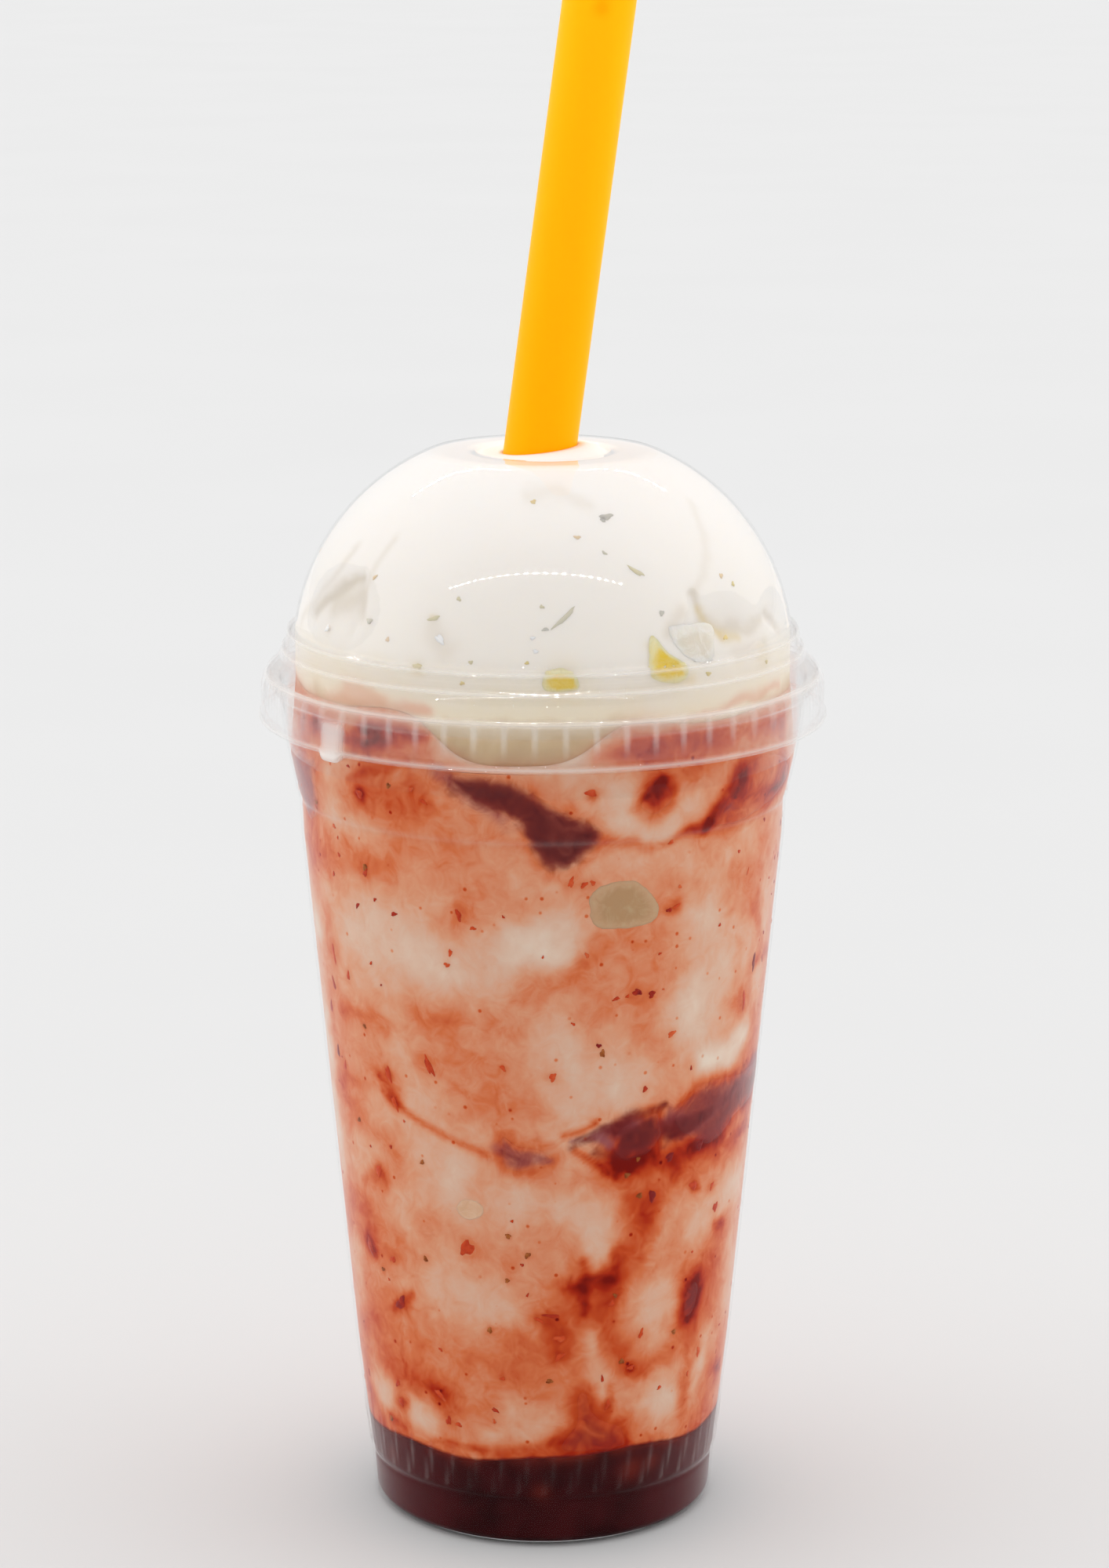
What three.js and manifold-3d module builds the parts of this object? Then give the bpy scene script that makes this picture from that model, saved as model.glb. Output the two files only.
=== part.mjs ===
// A family-size cup of strawberry ice milk: a clear tumbler of pressed plastic, filled with dark
// syrup, marbled red and white ice milk and white ice milk that stands up into a clear dome lid,
// with a fat straw leaning through the hole in the lid.
//
// Millimetres, +Z up. The origin is the middle of the cup's foot, on the table. Angles on the
// wall are degrees from the front (-Y), growing towards the right (+X).

import * as THREE from 'three';
import { mergeVertices } from 'three/addons/utils/BufferGeometryUtils.js';
import Module from 'manifold-3d';

const wasm = await Module();
wasm.setup();

// Shared sizes
const SEGMENTS = 40;             // facets round the cup, the lid and the contents
const WALL = 0.6;                // wall of the cup and the lid
const GAP = 0.3;                 // room between neighbouring pieces
const EDGE = 0.6;                // rounding of small edges, and height of small steps
const SLOPE = 0.5;               // the wall where it slopes, measured both across and down

// Cup: each radius is of the outer surface
const FOOT_RING_INNER = 27.2;    // the flat ring that the cup stands on
const FOOT_RING_OUTER = 29.4;
const FOOT_RADIUS = 31.2;
const FOOT_ROUNDING = 1.6;       // height of the rounded edge round the foot
const FOOT_TOP_RADIUS = 31.65;
const FOOT_LINE_HEIGHT = 9;      // groove between the smooth foot and the wall
const FOOT_LINE_RADIUS = 31.45;
const WALL_FOOT_RADIUS = 32.05;  // where the wall starts, just above the groove
const WALL_FOOT_HEIGHT = 9.9;
const WALL_LOW_HEIGHT = 30;      // the wall leans a little more below this height
const WALL_LOW_RADIUS = 34.4;
const WALL_TOP_HEIGHT = 121.5;   // where the straight wall ends
const WALL_TOP_RADIUS = 42.95;
const STACK_BAND_HEIGHT = 125.5; // steep band that the next cup in a stack rests against
const STACK_BAND_LOW_RADIUS = 43.35;
const STACK_BAND_RADIUS = 43.6;
const STACK_LINE_HEIGHT = 132.8; // small step above that band
const STACK_STEP = 0.4;
const FLARE_HEIGHT = 141.5;
const FLARE_RADIUS = 45.7;
const RIM_NECK_RADIUS = 47.4;    // wall just under the rolled rim
const RIM_BOTTOM = 151.8;
const RIM_RADIUS = 49;
const CUP_HEIGHT = 154.6;
const BASE_LIFT = 2.6;           // the middle of the base is pushed up
const BASE_RADIUS = 24.6;        // edge of that middle

// Dome lid: each radius is of the outer surface
const SKIRT_BOTTOM = 146.6;
const SKIRT_RADIUS = 50.5;
const SKIRT_LIP = 1.2;           // height of the straight lip at the skirt's lower end
const SHOULDER_HEIGHT = 154.8;
const SHOULDER_RADIUS = 49.95;
const SHOULDER_ROUNDING = 1.4;
const FLANGE_HEIGHT = 157.5;     // sloping flange over the cup's rim
const FLANGE_RADIUS = 48.6;
const LOWER_BEAD_HEIGHT = 159.2;
const LOWER_BEAD_RADIUS = 46.4;
const UPPER_BEAD_HEIGHT = 162.2;
const UPPER_BEAD_RADIUS = 45;
const DOME_START = 163;
const DOME_ARC_RADIUS = 39.6;    // the dome is an arc turned about the axis,
const DOME_ARC_OFFSET = 5;       // with the arc's centre this far off the axis
const DOME_ARC_HEIGHT = 157.4;   // and this high
const PLATE_HEIGHT = 194;        // flat top of the dome
const PLATE_RADIUS = 20.4;
const STRAW_HOLE_RADIUS = 12;
const TAB = { angle: -50, width: 5, corner: 1.2, bottom: 145.4, top: 151.5, inner: 50.1, outer: 51 };

// Straw
const STRAW_RADIUS = 6.4;
const STRAW_WALL = 0.5;
const STRAW_LENGTH = 260;
const STRAW_LEAN = 7.5;          // degrees towards +X
const STRAW_AT_PLATE = -0.5;     // X of the straw's axis at the height of the lid's plate
const STRAW_TOP = 281;

// Contents
const SYRUP_LEVEL = 17;          // mean height of the syrup
const SYRUP_SWELL = 0.7;
const WHITE_LEVEL = 154;         // where marbled milk ends and white milk starts
const CONTENTS_NECK_HEIGHT = 140.5; // above this the milk stands clear of the flaring wall
const WHITE_COLUMN_RADIUS = 44;  // white milk inside the lid's two beads
const HUMP_HEIGHT = 194.7;       // milk pressed up into the straw hole
const HUMP_RADIUS = 11.5;
const HUMP_ROUNDING = 1.2;

// White milk runs down between cup and contents here, so the line between the two milks dips.
const FRONT_DIP = { angle: -8, width: 17, depth: 8.5 };

// Hollows where the white milk stands off the dome, between its folds
const MILK_HOLLOWS = [
  { angle: -54, height: 170, width: 9, tall: 6, depth: 4 },
  { angle: 47, height: 168.5, width: 9, tall: 4.5, depth: 4 },
  { angle: 72, height: 167, width: 8, tall: 5, depth: 3 },
  { angle: 150, height: 172, width: 12, tall: 7, depth: 3.5 },
  { angle: -140, height: 168, width: 11, tall: 6, depth: 3.5 },
];

// Pieces that show at the wall. Each has the angle and height of its middle, how deep it reaches,
// and its outline in millimetres across and up, seen from outside.
const STRAWBERRY_PIECES = [
  { name: 'strawberry_piece_1', angle: -4, height: 137, depth: 7, outline: [
    [-13.7, 7.5], [-9.2, 2.1], [-1.9, -0.4], [2.8, -8.2], [6.2, -9.2], [9.7, -7.6], [13.1, -2],
    [4.1, 3.3], [-3.6, 7.4]] },
  { name: 'strawberry_piece_2', angle: 58, height: 138, depth: 6, outline: [
    [-12.6, -4.1], [-7.2, -5], [0, -4.2], [12.1, -1.7], [13.4, 1.4], [4.9, 5.4], [-4.9, 5.4],
    [-9.9, 1.3]] },
  { name: 'strawberry_piece_3', angle: -72, height: 137, depth: 6, outline: [
    [-10, 3.8], [-7.6, -3], [-0.4, -6.8], [5.6, -3.4], [7, 1.2], [6.6, 5.8]] },
  { name: 'strawberry_piece_4', angle: 60, height: 80.5, depth: 6, outline: [
    [-15.6, -0.6], [-13.1, -3.4], [-5.3, -6.7], [2.7, -3.6], [13.3, -2.5], [19, -0.5],
    [16.7, 3.5], [2.7, 3.8], [-5.8, 5.1], [-10, 4.8], [-13.9, 2.2]] },
  { name: 'strawberry_piece_5', angle: 25.5, height: 78.5, depth: 5, outline: [
    [-4.7, -0.6], [-4.3, -3.1], [-1.5, -4.3], [3.1, -3.1], [4.5, 0.1], [3.5, 3.5], [0.4, 3.2],
    [-3.3, 1.5]] },
  { name: 'strawberry_piece_6', angle: 15.5, height: 22.9, depth: 6, outline: [
    [-5.6, -3.3], [-2, -4.1], [5.6, -4.3], [6.4, -3.2], [5.4, -0.4], [2.3, 1.2], [-0.5, 3.8],
    [-1.5, 7], [-2.9, 6.4], [-2.8, 1.7], [-4.2, -0.5]] },
  { name: 'strawberry_piece_7', angle: 48.5, height: 44.2, depth: 3, outline: [
    [-1.7, -3.1], [-0.2, -3.8], [1.3, -2.2], [2, 1.8], [1, 3.8], [-0.9, 3.2], [-1.9, 0.4]] },
  { name: 'strawberry_piece_8', angle: 25.6, height: 139.5, depth: 3, outline: [
    [-2.8, -1.6], [0.4, -2.7], [2.9, -0.5], [1.9, 2.3], [-1, 2.4], [-2.4, 0.8]] },
  { name: 'strawberry_piece_9', angle: -4.5, height: 76, depth: 3.5, outline: [
    [-4.1, 3.1], [-3.6, -2.5], [0, -2.9], [4.8, -1.1], [2.7, 0.9], [-1.4, 1.5]] },
  { name: 'strawberry_piece_10', angle: 157, height: 116, depth: 6, outline: [
    [-10.5, 3.4], [-7, -2.8], [1.5, -5.6], [8.4, -3.9], [10.8, 0.6], [3.2, 2.9], [-4.1, 6.1]] },
  { name: 'strawberry_piece_11', angle: -131, height: 70, depth: 6, outline: [
    [-12, -2.7], [-4.6, -5.6], [6.1, -3.2], [11.6, 1.3], [5.3, 4.9], [-5.2, 4.2]] },
  { name: 'strawberry_piece_12', angle: 172, height: 38, depth: 5, outline: [
    [-4.4, -3.9], [1.6, -5], [5.5, -0.7], [2.6, 4.6], [-2.9, 3.9], [-5.3, 0.3]] },
];
const JELLY_PIECES = [
  { name: 'jelly_piece_1', angle: 19.5, height: 121.4, depth: 5, outline: [
    [-6.5, 1], [-5.7, -3.1], [-0.7, -4.4], [4.4, -3.9], [6.6, -1.6], [4.8, 1.7], [0.4, 4.4],
    [-4.5, 3.7]] },
  { name: 'jelly_piece_2', angle: -20.2, height: 65, depth: 2.5, outline: [
    [-2.5, 0], [-1.7, -1.5], [0.3, -1.9], [2.1, -1], [2.5, 0.6], [1.2, 1.7], [-1.3, 1.6]] },
];
const DOME_PIECES = [
  { name: 'fruit_cube_1', angle: 4, height: 161.2, depth: 5, outline: [
    [-2.8, -1.6], [2.7, -1.6], [3, 0.7], [1.6, 1.9], [-0.4, 2.6], [-2.9, 1.2]] },
  { name: 'fruit_cube_2', angle: 29, height: 163.5, depth: 5, outline: [
    [-3.6, -2], [0.3, -3.9], [3.4, -3.6], [4, -1.2], [0.2, 1.7], [-3, 4.9]] },
  { name: 'jelly_cube', angle: 36.8, height: 166, depth: 5, outline: [
    [-4.9, 3.1], [-4.5, 0.5], [-0.7, -3], [3.5, -3.1], [4.6, 2.1], [0.2, 3.2]] },
];

const radians = THREE.MathUtils.degToRad;

// A mesh of merged vertices with no flat triangles, ready for a boolean.
function solidOf(geometry) {
  const bare = geometry.clone();
  bare.deleteAttribute('normal');
  bare.deleteAttribute('uv');
  const merged = mergeVertices(bare);
  const corners = merged.index.array;
  const kept = [];
  for (let i = 0; i < corners.length; i += 3) {
    const [a, b, c] = [corners[i], corners[i + 1], corners[i + 2]];
    if (a !== b && b !== c && c !== a) kept.push(a, b, c);
  }
  return new wasm.Manifold(new wasm.Mesh({
    numProp: 3,
    vertProperties: merged.attributes.position.array,
    triVerts: Uint32Array.from(kept),
  }));
}

function geometryOf(solid) {
  const mesh = solid.getMesh();
  const geometry = new THREE.BufferGeometry();
  geometry.setAttribute('position', new THREE.BufferAttribute(mesh.vertProperties, 3));
  geometry.setIndex(new THREE.BufferAttribute(mesh.triVerts, 1));
  geometry.computeVertexNormals();
  return geometry;
}

// Turns a profile of [radius, height] pairs about Z. The profile runs out from the axis, up and
// back to the axis, or closes on itself, with the material on its left.
function turned(profile, segments = SEGMENTS) {
  const points = profile.map(([radius, height]) => new THREE.Vector2(radius, height));
  return new THREE.LatheGeometry(points, segments).rotateX(Math.PI / 2);
}

// Moves each vertex of a turned shape: move(angle, radius, height) gives its new radius and height.
function reshaped(geometry, move) {
  const position = geometry.attributes.position;
  for (let i = 0; i < position.count; i += 1) {
    const radius = Math.hypot(position.getX(i), position.getY(i));
    if (radius < 1e-3) continue;
    const angle = Math.atan2(position.getX(i), -position.getY(i));
    const [newRadius, newHeight] = move(THREE.MathUtils.radToDeg(angle), radius, position.getZ(i));
    position.setXYZ(i, newRadius * Math.sin(angle), -newRadius * Math.cos(angle), newHeight);
  }
  return geometry;
}

// The wall's outer surface from the foot up to the rim, as [radius, height] pairs.
const cupOutside = [
  [FOOT_RING_OUTER, 0],
  [FOOT_RADIUS - EDGE, EDGE],
  [FOOT_RADIUS, FOOT_ROUNDING],
  [FOOT_TOP_RADIUS, FOOT_LINE_HEIGHT - EDGE],
  [FOOT_LINE_RADIUS, FOOT_LINE_HEIGHT],
  [WALL_FOOT_RADIUS, WALL_FOOT_HEIGHT],
  [WALL_LOW_RADIUS, WALL_LOW_HEIGHT],
  [WALL_TOP_RADIUS, WALL_TOP_HEIGHT],
  [STACK_BAND_LOW_RADIUS, STACK_BAND_HEIGHT],
  [STACK_BAND_RADIUS, STACK_LINE_HEIGHT - STACK_STEP],
  [STACK_BAND_RADIUS + STACK_STEP, STACK_LINE_HEIGHT + STACK_STEP],
  [FLARE_RADIUS, FLARE_HEIGHT],
  [RIM_NECK_RADIUS, RIM_BOTTOM],
];

// Outer radius of the cup at a height.
function cupRadius(height) {
  const upper = cupOutside.findIndex((pair) => pair[1] >= height);
  const [lowRadius, low] = cupOutside[upper - 1];
  const [highRadius, high] = cupOutside[upper];
  return THREE.MathUtils.mapLinear(height, low, high, lowRadius, highRadius);
}

// Radius of the contents at a height: against the wall, then clear of it below the rim.
function contentsRadius(height) {
  if (height > CONTENTS_NECK_HEIGHT) {
    const neckRadius = contentsRadius(CONTENTS_NECK_HEIGHT);
    return THREE.MathUtils.mapLinear(height, CONTENTS_NECK_HEIGHT, WHITE_LEVEL,
      neckRadius, WHITE_COLUMN_RADIUS);
  }
  return cupRadius(height) - WALL - GAP;
}

// The base's upper side from the foot's edge in to the axis, raised by a margin.
function baseInside(margin) {
  return [
    [FOOT_RING_OUTER - margin, WALL + margin],
    [FOOT_RING_INNER + margin, WALL + margin],
    [BASE_RADIUS + WALL / 2, BASE_LIFT + WALL + margin],
    [0, BASE_LIFT + WALL + margin],
  ];
}

// Cup: one closed skin, out under the base, up the wall, over the rolled rim and down inside.
function makeCup() {
  const wall = cupOutside.filter(([, height]) => height >= WALL_FOOT_HEIGHT && height < RIM_BOTTOM);
  return turned([
    [0, BASE_LIFT],
    [BASE_RADIUS, BASE_LIFT],
    [FOOT_RING_INNER, 0],
    ...cupOutside,
    [RIM_RADIUS - EDGE, RIM_BOTTOM + EDGE / 2],
    [RIM_RADIUS, RIM_BOTTOM + EDGE * 2],
    [RIM_RADIUS, CUP_HEIGHT - EDGE],
    [RIM_RADIUS - EDGE, CUP_HEIGHT],
    [RIM_NECK_RADIUS, CUP_HEIGHT],
    [RIM_NECK_RADIUS - WALL, CUP_HEIGHT - EDGE],
    [RIM_NECK_RADIUS - WALL, RIM_BOTTOM - EDGE],
    ...wall.map(([radius, height]) => [radius - WALL, height]).reverse(),
    [FOOT_LINE_RADIUS - WALL, FOOT_LINE_HEIGHT],
    [FOOT_RADIUS - WALL, FOOT_ROUNDING + WALL / 2],
    ...baseInside(0),
  ]);
}

// Points on the dome's arc, from its start up to a height, for a skin inset from the outside.
function domeArc(inset, topHeight, steps) {
  const radius = DOME_ARC_RADIUS - inset;
  const first = Math.asin((DOME_START - DOME_ARC_HEIGHT) / radius);
  const last = Math.asin((topHeight - DOME_ARC_HEIGHT) / radius);
  const points = [];
  for (let i = 0; i <= steps; i += 1) {
    const turn = THREE.MathUtils.lerp(first, last, i / steps);
    points.push([DOME_ARC_OFFSET + radius * Math.cos(turn), DOME_ARC_HEIGHT + radius * Math.sin(turn)]);
  }
  return points;
}

// A prism that follows the wall: its outline is bent round the axis, and it narrows inwards.
function wallPrism({ angle, height, outline }, wallRadius, innerRadius, outerRadius, narrowing) {
  const shape = new THREE.Shape(outline.map(([across, up]) => new THREE.Vector2(across, up)));
  const depth = outerRadius - innerRadius;
  const geometry = new THREE.ExtrudeGeometry(shape, { depth, steps: 1, bevelEnabled: false });
  const position = geometry.attributes.position;
  for (let i = 0; i < position.count; i += 1) {
    const outwards = position.getZ(i) / depth;
    const scale = THREE.MathUtils.lerp(narrowing, 1, outwards);
    const turn = radians(angle) + (position.getX(i) * scale) / wallRadius;
    const radius = innerRadius + position.getZ(i);
    position.setXYZ(i, radius * Math.sin(turn), -radius * Math.cos(turn), height + position.getY(i) * scale);
  }
  return solidOf(geometry);
}

// Dome lid: flared skirt, sloping flange over the rim, two beads, dome and flat plate with a hole.
function makeLid() {
  const skin = turned([
    [SKIRT_RADIUS, SKIRT_BOTTOM],
    [SKIRT_RADIUS, SKIRT_BOTTOM + SKIRT_LIP],
    [SHOULDER_RADIUS, SHOULDER_HEIGHT],
    [SHOULDER_RADIUS - EDGE / 2, SHOULDER_HEIGHT + SHOULDER_ROUNDING],
    [FLANGE_RADIUS, FLANGE_HEIGHT],
    [LOWER_BEAD_RADIUS + EDGE, LOWER_BEAD_HEIGHT - EDGE],
    [LOWER_BEAD_RADIUS, LOWER_BEAD_HEIGHT],
    [UPPER_BEAD_RADIUS + EDGE, LOWER_BEAD_HEIGHT + EDGE * 1.5],
    [UPPER_BEAD_RADIUS + EDGE / 2, UPPER_BEAD_HEIGHT - EDGE],
    [UPPER_BEAD_RADIUS, UPPER_BEAD_HEIGHT],
    ...domeArc(0, PLATE_HEIGHT - EDGE, 8),
    [PLATE_RADIUS - EDGE, PLATE_HEIGHT],
    [STRAW_HOLE_RADIUS, PLATE_HEIGHT],
    [STRAW_HOLE_RADIUS, PLATE_HEIGHT - WALL],
    ...domeArc(WALL, PLATE_HEIGHT - WALL, 7).reverse(),
    [UPPER_BEAD_RADIUS - SLOPE, UPPER_BEAD_HEIGHT - SLOPE],
    [UPPER_BEAD_RADIUS, LOWER_BEAD_HEIGHT + SLOPE],
    [LOWER_BEAD_RADIUS - SLOPE, LOWER_BEAD_HEIGHT - SLOPE],
    [FLANGE_RADIUS - SLOPE, FLANGE_HEIGHT - SLOPE],
    [SHOULDER_RADIUS - EDGE / 2 - WALL, SHOULDER_HEIGHT + SHOULDER_ROUNDING - SLOPE],
    [SHOULDER_RADIUS - WALL, SHOULDER_HEIGHT - SLOPE],
    [SKIRT_RADIUS - WALL, SKIRT_BOTTOM],
    [SKIRT_RADIUS, SKIRT_BOTTOM],
  ]);
  const halfTall = (TAB.top - TAB.bottom) / 2;
  const half = TAB.width / 2;
  const straight = half - TAB.corner;
  const outline = [
    [-half, TAB.corner - halfTall], [-straight, -halfTall], [straight, -halfTall],
    [half, TAB.corner - halfTall], [half, halfTall], [-half, halfTall]];
  const tab = wallPrism({ angle: TAB.angle, height: TAB.bottom + halfTall, outline },
    TAB.outer, TAB.inner, TAB.outer, 1);
  return geometryOf(solidOf(skin).add(tab));
}

// Height of the syrup: nearly level, with a low swell towards the wall.
function syrupHeight(angle, radius, level) {
  const turn = radians(angle);
  const swell = Math.sin(2 * turn + 0.6) + 0.6 * Math.sin(5 * turn) + 0.4 * Math.cos(9 * turn + 1);
  return level + SYRUP_SWELL * swell * (radius / WALL_FOOT_RADIUS) ** 2;
}

// Height where marbled milk meets white milk: lifted at the left, dipping at the front.
function whiteHeight(angle, radius, level) {
  const turn = radians(angle);
  const towardsWall = (radius / WHITE_COLUMN_RADIUS) ** 3;
  const dip = FRONT_DIP.depth * Math.exp(-(((angle - FRONT_DIP.angle) / FRONT_DIP.width) ** 2));
  const waves = 0.8 * Math.sin(turn * 3 + 2) + 0.5 * Math.sin(turn * 7) - 1.2 * Math.sin(turn);
  return level + towardsWall * (waves - dip);
}

// Radii of the rings of points that cover a level between the axis and the wall.
function ringsTo(edgeRadius) {
  return [0, 0.4, 0.7, 0.88].map((share) => share * edgeRadius);
}

function makeSyrup() {
  const edge = contentsRadius(SYRUP_LEVEL);
  const top = ringsTo(edge).reverse().map((radius) => [radius, SYRUP_LEVEL]);
  const body = turned([
    ...baseInside(GAP).reverse(),
    [FOOT_RADIUS - WALL - GAP, FOOT_ROUNDING + WALL / 2 + GAP],
    [FOOT_LINE_RADIUS - WALL - GAP, FOOT_LINE_HEIGHT],
    [contentsRadius(WALL_FOOT_HEIGHT), WALL_FOOT_HEIGHT],
    [edge, SYRUP_LEVEL],
    ...top,
  ]);
  return reshaped(body, (angle, radius, height) => {
    if (height < SYRUP_LEVEL - 1e-3) return [radius, height];
    const level = syrupHeight(angle, radius, SYRUP_LEVEL);
    return [radius > edge - 0.01 ? contentsRadius(level) : radius, level];
  });
}

// Marbled milk before anything is cut out of it.
function marbledBody() {
  const floor = SYRUP_LEVEL + GAP;
  const lowEdge = contentsRadius(floor);
  const sideHeights = [WALL_LOW_HEIGHT, WALL_TOP_HEIGHT, STACK_BAND_HEIGHT,
    STACK_LINE_HEIGHT - STACK_STEP, STACK_LINE_HEIGHT + STACK_STEP, CONTENTS_NECK_HEIGHT];
  const body = turned([
    ...ringsTo(lowEdge).map((radius) => [radius, floor]),
    [lowEdge, floor],
    ...sideHeights.map((height) => [contentsRadius(height), height]),
    [WHITE_COLUMN_RADIUS, WHITE_LEVEL],
    ...ringsTo(WHITE_COLUMN_RADIUS).reverse().map((radius) => [radius, WHITE_LEVEL]),
  ]);
  return reshaped(body, (angle, radius, height) => {
    if (height < floor + 1e-3) {
      const level = syrupHeight(angle, radius * (contentsRadius(SYRUP_LEVEL) / lowEdge), floor);
      return [radius > lowEdge - 0.01 ? contentsRadius(level) : radius, level];
    }
    if (height > WHITE_LEVEL - 1e-3) {
      const level = whiteHeight(angle, radius, WHITE_LEVEL);
      return [radius > WHITE_COLUMN_RADIUS - 0.01 ? contentsRadius(level) : radius, level];
    }
    return [radius, height];
  });
}

// White milk before anything is cut out of it: it fills the dome, with a hump in the straw hole,
// and stands on the marbled milk, whose upper side it follows.
function whiteBody(milkBelow) {
  const floor = WHITE_LEVEL - FRONT_DIP.depth - 2;
  const underPlate = PLATE_HEIGHT - WALL - GAP;
  const inset = 0.06;            // keeps its foot inside the marbled milk that it is cut by
  const body = turned([
    [0, floor],
    [contentsRadius(floor) - inset, floor],
    [WHITE_COLUMN_RADIUS - inset, WHITE_LEVEL],
    [WHITE_COLUMN_RADIUS - inset, UPPER_BEAD_HEIGHT - 4],
    ...domeArc(WALL + GAP, underPlate, 9),
    [HUMP_RADIUS, underPlate],
    [HUMP_RADIUS - HUMP_ROUNDING, HUMP_HEIGHT - HUMP_ROUNDING / 3],
    [HUMP_RADIUS * 0.4, HUMP_HEIGHT],
    [0, HUMP_HEIGHT],
  ]);
  reshaped(body, (angle, radius, height) => {
    if (height > underPlate + 0.1) return [radius, height + 0.3 * Math.sin(radians(angle)) - 0.3];
    let inwards = 0;
    for (const hollow of MILK_HOLLOWS) {
      const across = (((angle - hollow.angle + 540) % 360) - 180) / hollow.width;
      const up = (height - hollow.height) / hollow.tall;
      inwards += hollow.depth * Math.exp(-(across ** 2) - up ** 2);
    }
    return [radius - inwards, height];
  });
  return solidOf(body).subtract(milkBelow.translate(0, 0, GAP));
}

// Pushes every side of an outline out by a margin, keeping its corners sharp.
function grown(outline, margin) {
  const points = outline.map(([across, up]) => new THREE.Vector2(across, up));
  const turnWay = Math.sign(THREE.ShapeUtils.area(points));
  return points.map((point, i) => {
    const before = points[(i + points.length - 1) % points.length];
    const after = points[(i + 1) % points.length];
    const sideIn = point.clone().sub(before).normalize();
    const sideOut = after.clone().sub(point).normalize();
    const normalIn = new THREE.Vector2(sideIn.y, -sideIn.x).multiplyScalar(turnWay);
    const normalOut = new THREE.Vector2(sideOut.y, -sideOut.x).multiplyScalar(turnWay);
    const corner = normalIn.add(normalOut).normalize();
    const reach = margin / Math.max(corner.dot(normalOut), 0.4);
    return [point.x + corner.x * reach, point.y + corner.y * reach];
  });
}

// Splits each piece from the milk round it: the piece, flush with the milk, and its socket.
const PIECE_NARROWING = 0.7;
function pieceAndSocket(piece, body, wallRadius) {
  const beyond = wallRadius + 8;
  const inner = wallRadius - piece.depth;
  const solid = wallPrism(piece, wallRadius, inner, beyond, PIECE_NARROWING).intersect(body);
  const wider = { ...piece, outline: grown(piece.outline, GAP + 0.1) };
  const socket = wallPrism(wider, wallRadius, inner - GAP, beyond, PIECE_NARROWING);
  return [solid, socket];
}

// Straw: a tube of even wall, open at both ends. Its own origin is its lower end.
function makeStraw() {
  const bore = STRAW_RADIUS - STRAW_WALL;
  return turned([
    [bore, 0], [STRAW_RADIUS, 0], [STRAW_RADIUS, STRAW_LENGTH], [bore, STRAW_LENGTH], [bore, 0]], 24);
}

const strawLean = radians(STRAW_LEAN);
const strawFoot = new THREE.Vector3(0, 0, STRAW_TOP - STRAW_LENGTH * Math.cos(strawLean));
strawFoot.x = STRAW_AT_PLATE - (PLATE_HEIGHT - strawFoot.z) * Math.tan(strawLean);

// The room that the straw takes up in the milk.
function strawRoom() {
  const radius = STRAW_RADIUS + GAP + 0.1;
  const room = new THREE.CylinderGeometry(radius, radius, STRAW_LENGTH + GAP, 24).rotateX(Math.PI / 2);
  room.translate(0, 0, (STRAW_LENGTH - GAP) / 2);
  room.rotateY(strawLean);
  room.translate(strawFoot.x, strawFoot.y, strawFoot.z);
  return solidOf(room);
}

const cup = new THREE.Group();

function addMesh(name, geometry, material) {
  const mesh = new THREE.Mesh(geometry, new THREE.MeshStandardMaterial(material));
  mesh.name = name;
  cup.add(mesh);
  return mesh;
}

const CLEAR_PLASTIC = { color: 0xf3f5f5, roughness: 0.08, metalness: 0, transparent: true, opacity: 0.25 };
addMesh('cup', geometryOf(solidOf(makeCup())), CLEAR_PLASTIC);
addMesh('dome_lid', makeLid(), CLEAR_PLASTIC);

const straw = addMesh('straw', geometryOf(solidOf(makeStraw())),
  { color: 0xfcb902, roughness: 0.4, metalness: 0 });
straw.position.copy(strawFoot);
straw.rotation.y = strawLean;

addMesh('syrup_layer', geometryOf(solidOf(makeSyrup())), { color: 0x40120f, roughness: 0.3, metalness: 0 });

const marbledWhole = solidOf(marbledBody());
let marbled = marbledWhole;
for (const piece of [...STRAWBERRY_PIECES, ...JELLY_PIECES]) {
  const [solid, socket] = pieceAndSocket(piece, marbled, contentsRadius(piece.height));
  marbled = marbled.subtract(socket);
  const color = piece.name.startsWith('jelly') ? 0xb09468 : 0x5c1a1c;
  addMesh(piece.name, geometryOf(solid), { color, roughness: 0.4, metalness: 0 });
}
const strawSpace = strawRoom();
addMesh('marbled_ice_milk', geometryOf(marbled.subtract(strawSpace)),
  { color: 0xc98a68, roughness: 0.5, metalness: 0 });

let white = whiteBody(marbledWhole);
for (const piece of DOME_PIECES) {
  const [solid, socket] = pieceAndSocket(piece, white, WHITE_COLUMN_RADIUS - 0.6);
  white = white.subtract(socket);
  const color = piece.name.startsWith('jelly') ? 0xe3d9cd : 0xd7b85d;
  addMesh(piece.name, geometryOf(solid), { color, roughness: 0.4, metalness: 0 });
}
addMesh('white_ice_milk', geometryOf(white.subtract(strawSpace)),
  { color: 0xf4efe9, roughness: 0.55, metalness: 0 });

export default cup;
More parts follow.
